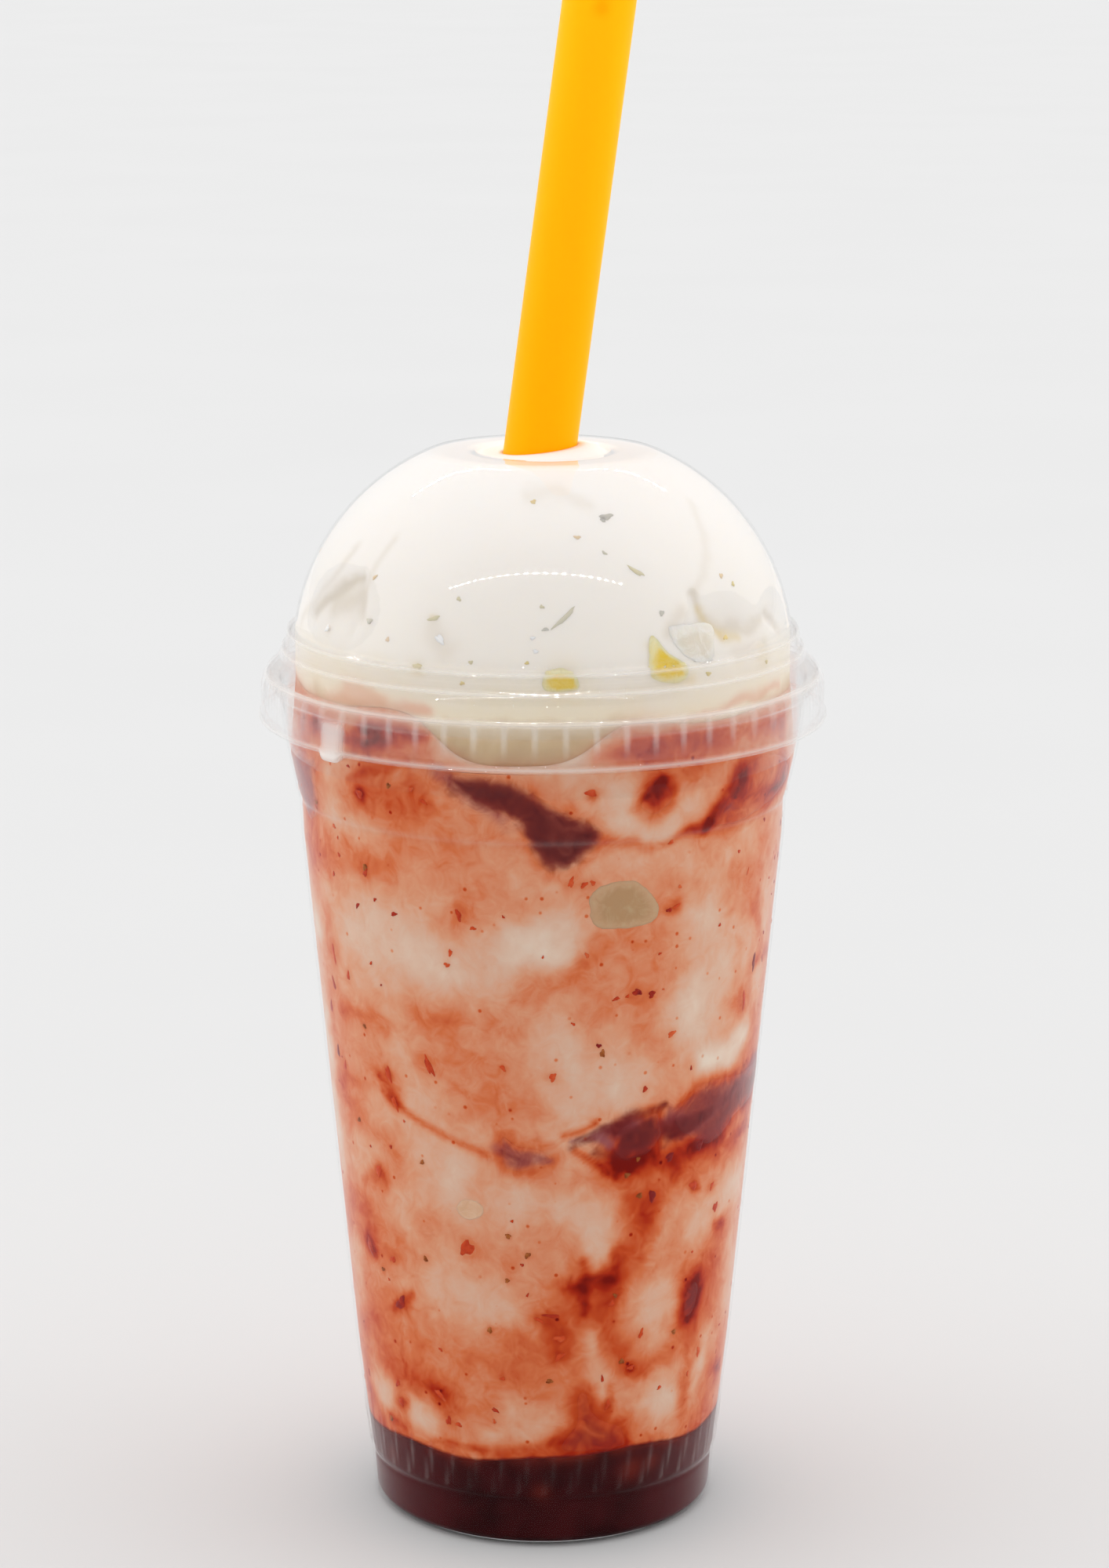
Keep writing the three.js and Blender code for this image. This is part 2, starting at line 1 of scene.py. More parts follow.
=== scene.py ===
import bpy
import numpy as np
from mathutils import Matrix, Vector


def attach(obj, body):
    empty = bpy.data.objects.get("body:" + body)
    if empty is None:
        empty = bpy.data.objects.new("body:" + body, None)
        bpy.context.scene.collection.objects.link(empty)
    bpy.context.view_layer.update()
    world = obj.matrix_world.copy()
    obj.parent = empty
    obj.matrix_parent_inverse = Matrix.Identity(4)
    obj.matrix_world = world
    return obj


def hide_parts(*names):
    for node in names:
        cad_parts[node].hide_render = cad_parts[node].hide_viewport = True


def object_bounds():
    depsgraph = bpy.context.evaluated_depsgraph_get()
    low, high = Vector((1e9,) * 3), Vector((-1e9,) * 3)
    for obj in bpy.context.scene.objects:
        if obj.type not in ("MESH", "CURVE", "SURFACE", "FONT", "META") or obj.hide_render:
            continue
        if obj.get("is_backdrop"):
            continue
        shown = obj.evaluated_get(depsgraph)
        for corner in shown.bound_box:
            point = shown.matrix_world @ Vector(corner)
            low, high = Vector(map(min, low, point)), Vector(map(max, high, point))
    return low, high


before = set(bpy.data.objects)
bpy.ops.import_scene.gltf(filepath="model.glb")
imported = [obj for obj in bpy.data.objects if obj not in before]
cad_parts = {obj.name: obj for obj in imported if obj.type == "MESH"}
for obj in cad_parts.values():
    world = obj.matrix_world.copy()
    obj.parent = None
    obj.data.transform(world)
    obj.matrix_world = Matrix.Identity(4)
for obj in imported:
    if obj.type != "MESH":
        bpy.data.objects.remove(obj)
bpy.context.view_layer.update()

# Camera. It stands 0.76 m in front of the cup and 0.31 m up and looks down on it a little, as the
# photograph does. The small shift sets the cup's axis left of the middle of the 1414 x 2000 frame.
CAMERA_PLACE = (0, -0.7589, 0.3073)
CAMERA_PITCH = 77.1
CAMERA_LENS, CAMERA_SENSOR = 99.54, 36
CAMERA_SHIFT = 0.0075

camera_data = bpy.data.cameras.new("camera")
camera_data.lens, camera_data.sensor_width = CAMERA_LENS, CAMERA_SENSOR
camera_data.shift_x = CAMERA_SHIFT
camera_data.clip_start, camera_data.clip_end = 0.01, 40
camera = bpy.data.objects.new("camera", camera_data)
camera.location = CAMERA_PLACE
camera.rotation_euler = (np.radians(CAMERA_PITCH), 0, 0)
bpy.context.scene.collection.objects.link(camera)
bpy.context.scene.camera = camera
bpy.context.scene.view_settings.view_transform = "Standard"
bpy.context.scene.cycles.transparent_max_bounces = 40


# Clear tumbler. It is thermoformed from a sheet of clear PET plastic: a pushed-up base, a smooth
# foot, a band of slanted ribs, a straight wall, a band that the next cup in a stack rests on, a
# flare and a rolled rim. The sheet is a skin turned about the axis, with the ribs raised on it.
MM = 0.001
CUP_COLUMNS = 440
CUP_WALL = 0.6
CUP_OUTSIDE = [
    (29.4, 0), (30.6, 0.6), (31.2, 1.6), (31.65, 8.2), (31.5, 9), (32.05, 10.1), (34.4, 30),
    (42.95, 121.5), (43.35, 125.5), (43.6, 132.4), (44.0, 133.2), (45.7, 141.5), (47.4, 151.8),
]
CUP_BASE = [(0, 2.6), (24.6, 2.6), (27.2, 0)]
CUP_RIM = [(48.4, 152.1), (49, 153), (49, 154), (48.4, 154.6), (47.4, 154.6), (46.8, 154), (46.8, 151.2)]
CUP_FLOOR = [(30.85, 9), (30.6, 1.9), (29.4, 0.6), (27.2, 0.6), (24.9, 3.2), (0, 3.2)]
FOOT_RIBS, FOOT_RIB_RISE, FOOT_RIB_HALF_WIDTH, FOOT_RIB_LEAN = 44, 0.14, 0.4, 0.6
FOOT_RIB_BOTTOM, FOOT_RIB_TOP = 10.1, 17.5
STACK_LINE, STACK_LINE_HALF_WIDTH = 133, 0.45
# Painted highlight laid on as milky white: how strong it is on the foot's ribs, how much more at the
# sides, where the ribs catch the light, and along the stack line; and how milky the rolled rim looks.
RIB_PAINTED_HIGHLIGHT, SIDE_PAINTED_HIGHLIGHT, STACK_PAINTED_HIGHLIGHT, RIM_FROST = 0.02, 0.08, 0.05, 0.12


def linear(hex_colour):
    """An sRGB hex colour as linear RGBA: c / 12.92 below 0.04045, else ((c + 0.055) / 1.055)^2.4."""
    channels = np.array([int(hex_colour[i:i + 2], 16) for i in (1, 3, 5)]) / 255
    low, high = channels / 12.92, ((channels + 0.055) / 1.055) ** 2.4
    return (*np.where(channels <= 0.04045, low, high), 1)


def eased(value, low, high):
    """Runs from 0 at low to 1 at high along 3t^2 - 2t^3."""
    share = np.clip((value - low) / (high - low), 0, 1)
    return share * share * (3 - 2 * share)


def wrapped(angle):
    """The same angle in degrees, from -180 up to 180."""
    return (angle + 180) % 360 - 180


def soft_line(height, middle, half_width):
    """A soft line round the cup: exp(-((height - middle) / half width)^2)."""
    return np.exp(-((height - middle) / half_width) ** 2)


def ribs_round(angle, radius, count, half_width):
    """Ribs spaced evenly round the axis: exp(-(d / half width)^2), d mm from the nearest rib."""
    phase = angle * count / 360
    distance = (phase - np.round(phase)) * 2 * np.pi * radius / count / half_width
    return np.exp(-distance ** 2)


def rounded(profile, cut, longest=4.0, turn_steps=5):
    """A (radius, height) profile with each corner replaced by the quadratic curve
    (1-t)^2 A + 2t(1-t) corner + t^2 B, where A and B lie at most cut away from the corner, and with
    straight stretches split so that none is over longest. cut is one length or one for each corner."""
    corners = np.array(profile, float)
    step = np.diff(corners, axis=0)
    length = np.hypot(*step.T)
    cut, way = np.broadcast_to(cut, len(corners) - 2), step / length[:, None]
    before = corners[1:-1] - np.minimum(cut, 0.45 * length[:-1])[:, None] * way[:-1]
    after = corners[1:-1] + np.minimum(cut, 0.45 * length[1:])[:, None] * way[1:]
    t = np.linspace(0, 1, turn_steps)[None, :, None]
    bends = (1 - t) ** 2 * before[:, None] + 2 * t * (1 - t) * corners[1:-1, None] + t * t * after[:, None]
    points = np.vstack([corners[:1], bends.reshape(-1, 2), corners[-1:]])
    along = np.concatenate([[0], np.cumsum(np.hypot(*np.diff(points, axis=0).T))])
    extra = np.concatenate([
        np.linspace(a, b, int(np.ceil((b - a) / longest)) + 1)[1:-1] for a, b in zip(along[:-1], along[1:])])
    along_all = np.unique(np.concatenate([along, extra]).round(6))
    return np.stack([np.interp(along_all, along, points[:, i]) for i in (0, 1)], 1)


def rings_of(profile, columns):
    """Radius, angle (degrees from the front, growing to the right) and height of every point of a
    profile turned about Z, each as an array of rows by columns."""
    angle = np.broadcast_to(np.arange(columns) * 360 / columns, (len(profile), columns))
    radius = np.repeat(profile[:, :1], columns, 1)
    height = np.repeat(profile[:, 1:], columns, 1)
    return radius, angle, height


def around_axis(radius, angle, height):
    """Points (radius sin angle, -radius cos angle, height), with the angle in degrees."""
    turn = np.radians(angle)
    return np.stack([radius * np.sin(turn), -radius * np.cos(turn), height + 0 * turn], -1)


def ring_faces(rows, columns, first=0, loop=False):
    """Quads between neighbouring rows of points, each row closing on itself, and with loop also
    between the last row and the first."""
    row = np.arange(rows if loop else rows - 1)[:, None]
    column = np.arange(columns)[None, :]
    above, beside = (row + 1) % rows, (column + 1) % columns
    quads = np.stack([row * columns + column, row * columns + beside,
                      above * columns + beside, above * columns + column], -1)
    return first + quads.reshape(-1, 4)


def pole_faces(ring_start, columns, pole, upwards):
    """Triangles from a pole to the ring that starts at ring_start, facing up or down."""
    column = np.arange(columns)
    beside = (column + 1) % columns
    ends = (column, beside) if upwards else (beside, column)
    return np.stack([ring_start + ends[0], ring_start + ends[1], np.full(columns, pole)], -1)


def piece_from(name, points, faces, material, layers=None):
    """A smooth mesh object from points in millimetres and arrays of faces, with a float attribute
    for each named layer of values."""
    mesh = bpy.data.meshes.new(name)
    mesh.from_pydata((points * MM).tolist(), [], [f for group in faces for f in group.tolist()])
    mesh.shade_smooth()
    for layer, values in (layers or {}).items():
        attribute = mesh.attributes.new(layer, "FLOAT", "POINT")
        attribute.data.foreach_set("value", np.asarray(values, np.float32).ravel())
    mesh.materials.append(material)
    piece = bpy.data.objects.new(name, mesh)
    bpy.context.scene.collection.objects.link(piece)
    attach(piece, "root")
    return piece


def with_poles(rows_of_points):
    """Rows of values with the first and last row, which are poles, kept once each at the end."""
    inner = rows_of_points[1:-1].reshape(-1, *rows_of_points.shape[2:])
    return np.concatenate([inner, rows_of_points[:1, 0], rows_of_points[-1:, 0]])


def pole_body_faces(rows, columns):
    """Faces of a closed body whose first and last rows are poles, for points from with_poles."""
    count = (rows - 2) * columns
    return [ring_faces(rows - 2, columns), pole_faces(0, columns, count, False),
            pole_faces(count - columns, columns, count + 1, True)]


def turned_piece(name, radius, angle, height, material, layers=None, poles=True):
    """A closed turned surface. Its first and last rows shrink to points on the axis, or with poles
    False the last row joins the first."""
    points, layers = around_axis(radius, angle, height), layers or {}
    if poles:
        points[[0, -1], :, :2] = 0
        inner = {layer: with_poles(values) for layer, values in layers.items()}
        return piece_from(name, with_poles(points), pole_body_faces(*radius.shape), material, inner)
    return piece_from(name, points.reshape(-1, 3), [ring_faces(*radius.shape, loop=True)], material, layers)


def add(tree, kind, inputs=(), stops=(), **settings):
    """Adds a node. inputs maps a socket's name or number to a value or to the output that feeds it,
    and stops gives a colour ramp its (position, sRGB hex colour) pairs from low to high."""
    made = tree.nodes.new(kind)
    if stops:
        elements = made.color_ramp.elements
        for element, (position, colour) in zip(elements, (stops[0], stops[-1])):
            element.position, element.color = position, linear(colour)
        for position, colour in stops[1:-1]:
            elements.new(position).color = linear(colour)
    for key, value in settings.items():
        setattr(made, key, value)
    for key, value in dict(inputs).items():
        if isinstance(value, bpy.types.NodeSocket):
            tree.links.new(value, made.inputs[key])
        else:
            made.inputs[key].default_value = value
    return made


def new_material(name):
    """A material without any nodes, and its node tree."""
    material = bpy.data.materials.new(name)
    material.use_nodes = True
    material.node_tree.nodes.clear()
    return material, material.node_tree


def clear_plastic(name, head_on, steepness, roughness, ripple_mm, ripple):
    """Thermoformed clear PET: light goes straight through, and a share of it is mirrored,
    head_on + (1 - head_on) * facing^steepness, where facing runs from 0 head on to 1 at the edge. An
    attribute mixes in a milky white: frost where the sheet is thick or bent so tightly that it looks
    milky, and painted highlight along lines that catch the light."""
    material, tree = new_material(name)
    facing = add(tree, "ShaderNodeLayerWeight", {"Blend": 0.5})
    power = add(tree, "ShaderNodeMath", {0: facing.outputs["Facing"], 1: steepness}, operation="POWER")
    mirrored = add(tree, "ShaderNodeMapRange", {"Value": power.outputs[0], "To Min": head_on, "To Max": 1.0})
    place = add(tree, "ShaderNodeTexCoord")
    waves = add(tree, "ShaderNodeTexNoise", {
        "Vector": place.outputs["Object"], "Scale": 1 / (ripple_mm * MM), "Detail": 2.0})
    bump = add(tree, "ShaderNodeBump", {
        "Height": waves.outputs["Fac"], "Strength": 1.0, "Distance": ripple * MM})
    gloss = add(tree, "ShaderNodeBsdfGlossy", {
        "Color": (1, 1, 1, 1), "Roughness": roughness, "Normal": bump.outputs[0]})
    clear = add(tree, "ShaderNodeBsdfTransparent", {"Color": (0.985, 0.985, 0.985, 1)})
    # the milky white is frost where the sheet is thick or tightly bent, and painted highlight along lines
    # that catch the light
    milky_and_highlight_white = add(tree, "ShaderNodeBsdfDiffuse", {"Color": linear("#f6f1ec")})
    frost_and_painted_highlight = add(tree, "ShaderNodeAttribute", attribute_name="frost_and_painted_highlight")
    body = add(tree, "ShaderNodeMixShader", {
        0: frost_and_painted_highlight.outputs["Fac"], 1: clear.outputs[0], 2: milky_and_highlight_white.outputs[0]})
    skin = add(tree, "ShaderNodeMixShader", {
        0: mirrored.outputs[0], 1: body.outputs[0], 2: gloss.outputs[0]})
    add(tree, "ShaderNodeOutputMaterial", {"Surface": skin.outputs[0]})
    return material


wall_rows = [p for p in CUP_OUTSIDE if 9.5 < p[1] < 150]
cup_inside = [(r - CUP_WALL, z) for r, z in reversed(wall_rows)]
cup_loop = CUP_BASE + CUP_OUTSIDE + CUP_RIM + cup_inside + CUP_FLOOR
cup_profile = rounded(cup_loop, 0.9, longest=5.0, turn_steps=4)
radius, angle, height = rings_of(cup_profile, CUP_COLUMNS)
outside = np.arange(len(cup_profile)) <= np.argmax(cup_profile[:, 1])
leaning = angle - FOOT_RIB_LEAN * (height - FOOT_RIB_BOTTOM)
rib_start = eased(height, FOOT_RIB_BOTTOM, FOOT_RIB_BOTTOM + 0.8)
rib_band = rib_start * (1 - eased(height, FOOT_RIB_TOP - 2, FOOT_RIB_TOP))
ribs = ribs_round(leaning, radius, FOOT_RIBS, FOOT_RIB_HALF_WIDTH) * rib_band * outside[:, None]
stack_line = soft_line(height, STACK_LINE, STACK_LINE_HALF_WIDTH)
at_sides = eased(np.abs(wrapped(angle)), 20, 50)
rim = eased(height, 151.5, 152.6)
cup_plastic = clear_plastic("pressed_clear_pet", 0.004, 5.0, 0.06, 14, 0.05)
# The milky white on the cup is painted highlight on the ribs, stronger at the sides, and on the stack line,
# and frost on the rim.
cup_shell = turned_piece(
    "cup_shell", radius + FOOT_RIB_RISE * ribs, angle, height, cup_plastic,
    {"frost_and_painted_highlight": (RIB_PAINTED_HIGHLIGHT + SIDE_PAINTED_HIGHLIGHT * at_sides) * ribs + STACK_PAINTED_HIGHLIGHT * stack_line + RIM_FROST * rim})
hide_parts("cup")


# Dome lid. It is thermoformed from thinner clear PET and snaps over the cup's rim: a flared skirt
# with upright ribs and a rounded lip, a sloping flange, two beads, the dome and a flat plate with
# the straw hole. The tab at the front left of the skirt is a drawn-down tongue of the same sheet.
LID_COLUMNS = 600
LID_WALL = 0.6
# The lid's outline from the skirt's lip up to the dome, as (radius, height, how far it is rounded).
LID_OUTSIDE = [
    (50.2, 146.5, 0.4), (50.65, 146.8, 0.4), (50.65, 147.6, 0.4), (50.2, 148.1, 0.4), (50.1, 152.8, 1.0),
    (49.6, 155.1, 1.2), (47.1, 157.4, 0.6), (46.75, 157.7, 0.3), (46.6, 159.4, 1.0), (45.75, 159.8, 0.3),
    (45.65, 162.5, 1.1), (44.8, 162.95, 0.3),
]
DOME_RADIUS, DOME_OFFSET, DOME_MIDDLE, DOME_BOTTOM, DOME_TOP = 39.6, 5, 157.4, 163, 193.4
PLATE = [(19.8, 194), (12, 194), (12, 193.4)]
SKIRT_RIBS, SKIRT_RIB_RISE, SKIRT_RIB_HALF_WIDTH = 60, 0.25, 0.36
SKIRT_RIB_TURN, SKIRT_BOTTOM = 1.5, 146.5
TAB_ANGLE, TAB_HALF_WIDTH, TAB_BOTTOM, TAB_TOP, TAB_RISE = -46, 2.5, 145.4, 153, 0.5
# Lines that catch the light, as (height, half width): the lip, the lower and upper bead, the shoulder.
LIP_LINE, LOWER_BEAD, UPPER_BEAD, SHOULDER_LINE = (147.3, 0.4), (159.2, 0.35), (162.4, 0.3), (154.9, 0.5)
# How milky the lid looks below the dome, and how strong the painted highlight is, laid on as milky
# white, along its lip, beads, shoulder, ribs and tab.
LID_FROST_AND_HIGHLIGHT = (0.02, 0.35, 0.4, 0.42, 0.26, 0.45)


def dome_radius(z, inset=0.0):
    """Outer radius of the dome at a height, drawn in by an inset: offset + sqrt(R^2 - (z - middle)^2)."""
    reach = np.maximum((DOME_RADIUS - inset) ** 2 - (z - DOME_MIDDLE) ** 2, 0)
    return DOME_OFFSET + np.sqrt(reach)


def dome_arc(inset, top, rows):
    """(radius, height) pairs up the dome, evenly spaced by angle on its arc."""
    size = DOME_RADIUS - inset
    first, last = (np.arcsin((z - DOME_MIDDLE) / size) for z in (DOME_BOTTOM, top))
    turn = np.linspace(first, last, rows)
    return list(zip(DOME_OFFSET + size * np.cos(turn), DOME_MIDDLE + size * np.sin(turn)))


lid_outside = [(r, z) for r, z, _ in LID_OUTSIDE]
lid_inside = [(r - 0.55, z - 0.3) for r, z in reversed(lid_outside[4:])]
lid_loop = (lid_outside + dome_arc(0, DOME_TOP, 24) + PLATE + dome_arc(LID_WALL, 192.9, 20)[::-1]
            + lid_inside + [(49.65, 148), (49.6, 146.7), (50.2, 146.5)])
lid_cuts = np.zeros(len(lid_loop) - 2)
lid_cuts[:len(LID_OUTSIDE) - 1] = [cut for _, _, cut in LID_OUTSIDE[1:]]
lid_profile = rounded(lid_loop, lid_cuts, longest=2.0, turn_steps=6)[:-1]
radius, angle, height = rings_of(lid_profile, LID_COLUMNS)
outer_side = (np.arange(len(lid_profile)) < np.argmax(lid_profile[:, 1]))[:, None]
rib_width = SKIRT_RIB_HALF_WIDTH * (0.6 + 0.4 * eased(height, 149, 153.5))
skirt_band = eased(height, 148.6, 151) * (1 - eased(height, 153.8, 155)) * (radius > 49)
ribs = ribs_round(angle + SKIRT_RIB_TURN, radius, SKIRT_RIBS, rib_width) * skirt_band
tab_across = np.radians(wrapped(angle - TAB_ANGLE)) * radius / TAB_HALF_WIDTH
tab_shape = np.exp(-tab_across ** 6) * (1 - eased(height, TAB_TOP - 1.5, TAB_TOP)) * (radius > 49)
tab_drop = (TAB_BOTTOM - SKIRT_BOTTOM) * tab_shape * (1 - eased(height, SKIRT_BOTTOM, SKIRT_BOTTOM + 2))
lip = soft_line(height, *LIP_LINE) * (radius > 50)
beads = (soft_line(height, *LOWER_BEAD) + soft_line(height, *UPPER_BEAD)) * outer_side
shoulder = soft_line(height, *SHOULDER_LINE) * outer_side
below_dome = 1 - eased(height, 161, DOME_BOTTOM)
# painted highlight along the lip, beads, shoulder, ribs and tab, over a faint frost below the dome
frost_and_highlight_places = (below_dome, lip, beads, shoulder, ribs, tab_shape)
lid_frost_and_highlight = sum(most * place for most, place in zip(LID_FROST_AND_HIGHLIGHT, frost_and_highlight_places))
lid_plastic = clear_plastic("thin_clear_pet_lid", 0.028, 4.5, 0.035, 9, 0.01)
lid_shell = turned_piece(
    "lid_shell", radius + outer_side * (SKIRT_RIB_RISE * ribs + TAB_RISE * tab_shape), angle,
    height + tab_drop, lid_plastic, {"frost_and_painted_highlight": lid_frost_and_highlight}, poles=False)
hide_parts("dome_lid")


# Straw. It is an extruded polypropylene tube, yellow and slightly translucent, which leans to the
# right in the lid's hole and is open at both ends. Near its top the soft wall has a small dent.
STRAW_RADIUS, STRAW_WALL, STRAW_LENGTH, STRAW_TOP, STRAW_LEAN = 6.4, 0.5, 260, 281, 7.5
STRAW_AT_PLATE, PLATE_HEIGHT = -0.5, 194
STRAW_COLUMNS, STRAW_ROWS, STRAW_BEVEL = 96, 130, 0.12
DENT_ALONG, DENT_LENGTH, DENT_ANGLE, DENT_WIDTH, DENT_DEPTH = 250.5, 1.3, 4, 12, 0.35
# Daylight that shines through the thin wall from behind, as the strength of a faint orange light.
STRAW_GLOW = 0.2
straw_lean = np.radians(STRAW_LEAN)
straw_foot = STRAW_TOP - STRAW_LENGTH * np.cos(straw_lean)


def straw_axis(height):
    """X of the straw's axis at a height."""
    return STRAW_AT_PLATE + (height - PLATE_HEIGHT) * np.tan(straw_lean)


along = np.linspace(0, STRAW_LENGTH, STRAW_ROWS)
bore = STRAW_RADIUS - STRAW_WALL
between_ends = np.clip(along, STRAW_BEVEL, STRAW_LENGTH - STRAW_BEVEL)
tube = np.array(
    [(bore + STRAW_BEVEL, 0), (STRAW_RADIUS - STRAW_BEVEL, 0)] + [(STRAW_RADIUS, s) for s in between_ends]
    + [(STRAW_RADIUS - STRAW_BEVEL, STRAW_LENGTH), (bore + STRAW_BEVEL, STRAW_LENGTH)]
    + [(bore, s) for s in between_ends[::-1]])
radius, angle, run = rings_of(tube, STRAW_COLUMNS)
dent = np.exp(
    -((run - DENT_ALONG) / DENT_LENGTH) ** 2 - (wrapped(angle - DENT_ANGLE) / DENT_WIDTH) ** 2)
upright = around_axis(radius - DENT_DEPTH * dent, angle, run)
straw_points = np.stack([
    straw_axis(straw_foot) + upright[..., 0] * np.cos(straw_lean) + upright[..., 2] * np.sin(straw_lean),
    upright[..., 1],
    straw_foot + upright[..., 2] * np.cos(straw_lean) - upright[..., 0] * np.sin(straw_lean)], -1)

straw_plastic, tree = new_material("yellow_polypropylene")
place = add(tree, "ShaderNodeTexCoord")
grain = add(tree, "ShaderNodeMapping", {"Vector": place.outputs["Object"], "Scale": (1, 1, 0.06)})
draw_lines = add(tree, "ShaderNodeTexNoise", {"Vector": grain.outputs[0], "Scale": 420.0, "Detail": 3.0})
# The tint is painted paler towards the top, painted light where daylight shines through the thin wall, and
# darker orange in the dent, painted shade.
high = add(tree, "ShaderNodeAttribute", attribute_name="along")
shade = add(tree, "ShaderNodeMath", {0: draw_lines.outputs["Fac"], 1: 0.12, 2: high.outputs["Fac"]},
            operation="MULTIPLY_ADD")
tint_and_painted_light = add(tree, "ShaderNodeValToRGB", {"Fac": shade.outputs[0]},
           stops=[(0.2, "#ff9c00"), (0.72, "#ffa800"), (1.0, "#ffb608")])
streaks = add(tree, "ShaderNodeBump", {"Height": draw_lines.outputs["Fac"], "Distance": 0.03 * MM})
skin = add(tree, "ShaderNodeBsdfPrincipled", {
    "Base Color": tint_and_painted_light.outputs[0], "Roughness": 0.38, "IOR": 1.49, "Normal": streaks.outputs[0],
    "Subsurface Weight": 0.35, "Subsurface Radius": (1.0, 0.55, 0.1), "Subsurface Scale": 0.003,
    "Specular IOR Level": 0.04, "Emission Color": linear("#ffae00"), "Emission Strength": STRAW_GLOW})
add(tree, "ShaderNodeOutputMaterial", {"Surface": skin.outputs[0]})
# The along attribute runs up the straw and dips in the dent, for the painted light and painted shade of the
# tint.
straw_tube = piece_from(
    "straw_tube", straw_points.reshape(-1, 3), [ring_faces(len(tube), STRAW_COLUMNS, loop=True)],
    straw_plastic, {"along": run / STRAW_LENGTH - 0.5 * dent})
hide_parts("straw")


# Marbled ice milk. It is soft frozen milk with strawberry sauce half stirred in: pale milk, wisps
# of orange and red, and dark places next to the fruit. It lies against the plastic, just inside
# the wall, from the syrup up to the white milk, and closes round the straw.
MILK_INSET = 0.5
SYRUP_LEVEL, SYRUP_SWELL, SYRUP_TOP_RADIUS, WHITE_LEVEL = 17, 0.7, 32.8, 154
NECK_HEIGHT, COLUMN_RADIUS = 140.5, 44
DIP_ANGLE, DIP_WIDTH, DIP_DEPTH = -6, 20, 8.3
FRONT_COLUMNS, BACK_COLUMNS, FRONT_REACH, MARBLE_ROWS = 350, 120, 100, 196
STRAW_ROOM = 6.7

# A stroke is how strong it is and a path of (angle, height, half width). Strokes of milk thin the
# sauce, strokes of sauce add to it, and strokes of fruit juice turn it purple. The hidden side takes
# the shown side's strokes of milk, sauce and red, turned round by BACK_TURN degrees and upside down
# about BACK_FLIP / 2.
BACK_TURN, BACK_FLIP = 172, 163
MILK_STROKES = [
    (.75, [(0, 113.5, 7)]), (.55, [(-28, 110, 7), (-50, 112, 8)]), (.5, [(-58, 133, 5), (-44, 132, 4)]),
    (.6, [(26, 137, 8), (18, 140, 5)]), (.55, [(63, 142, 5)]),
    (.6, [(40, 118, 7), (50, 108, 8), (40, 100, 7)]),
    (.9, [(47, 90, 3.2), (56, 89.5, 3.2), (66, 92, 3)]), (.45, [(15, 92, 9), (5, 97, 7)]),
    (.5, [(15, 65, 5), (8, 67, 3.5)]), (.45, [(-8, 66, 5)]), (.4, [(-25, 71, 6)]),
    (.8, [(52, 59, 4.5), (63, 63, 4), (72, 62, 4)]), (.5, [(31, 43, 4.5), (35, 47, 4)]),
    (.65, [(15, 56.5, 1.8), (18, 61, 2.6)]), (.6, [(16, 37, 1.8), (18, 30, 2.2), (14, 42, 1.4)]),
    (.75, [(39, 26, 5.5)]), (.7, [(56, 28, 3.5), (58, 36, 3)]), (.5, [(-25, 48, 7), (-12, 47, 5)]),
    (.85, [(-62, 24, 3.8)]), (.8, [(-43, 24, 3.2), (-38, 22, 2.6)]),
    (.5, [(-10, 27, 3), (-2, 24, 3), (-14, 23, 2.5)]), (.8, [(-78, 92, 4), (-78, 76, 4), (-78, 66, 4)]),
    (.7, [(-76, 110, 4)]), (.35, [(-65, 68, 5)]), (.5, [(-70, 50, 4), (-74, 40, 4)]),
    (.7, [(74, 40, 6), (72, 50, 5)]), (.6, [(70, 118, 5), (72, 100, 3)]), (.35, [(-30, 62, 5)]),
    (.35, [(30, 88, 3)]),
]
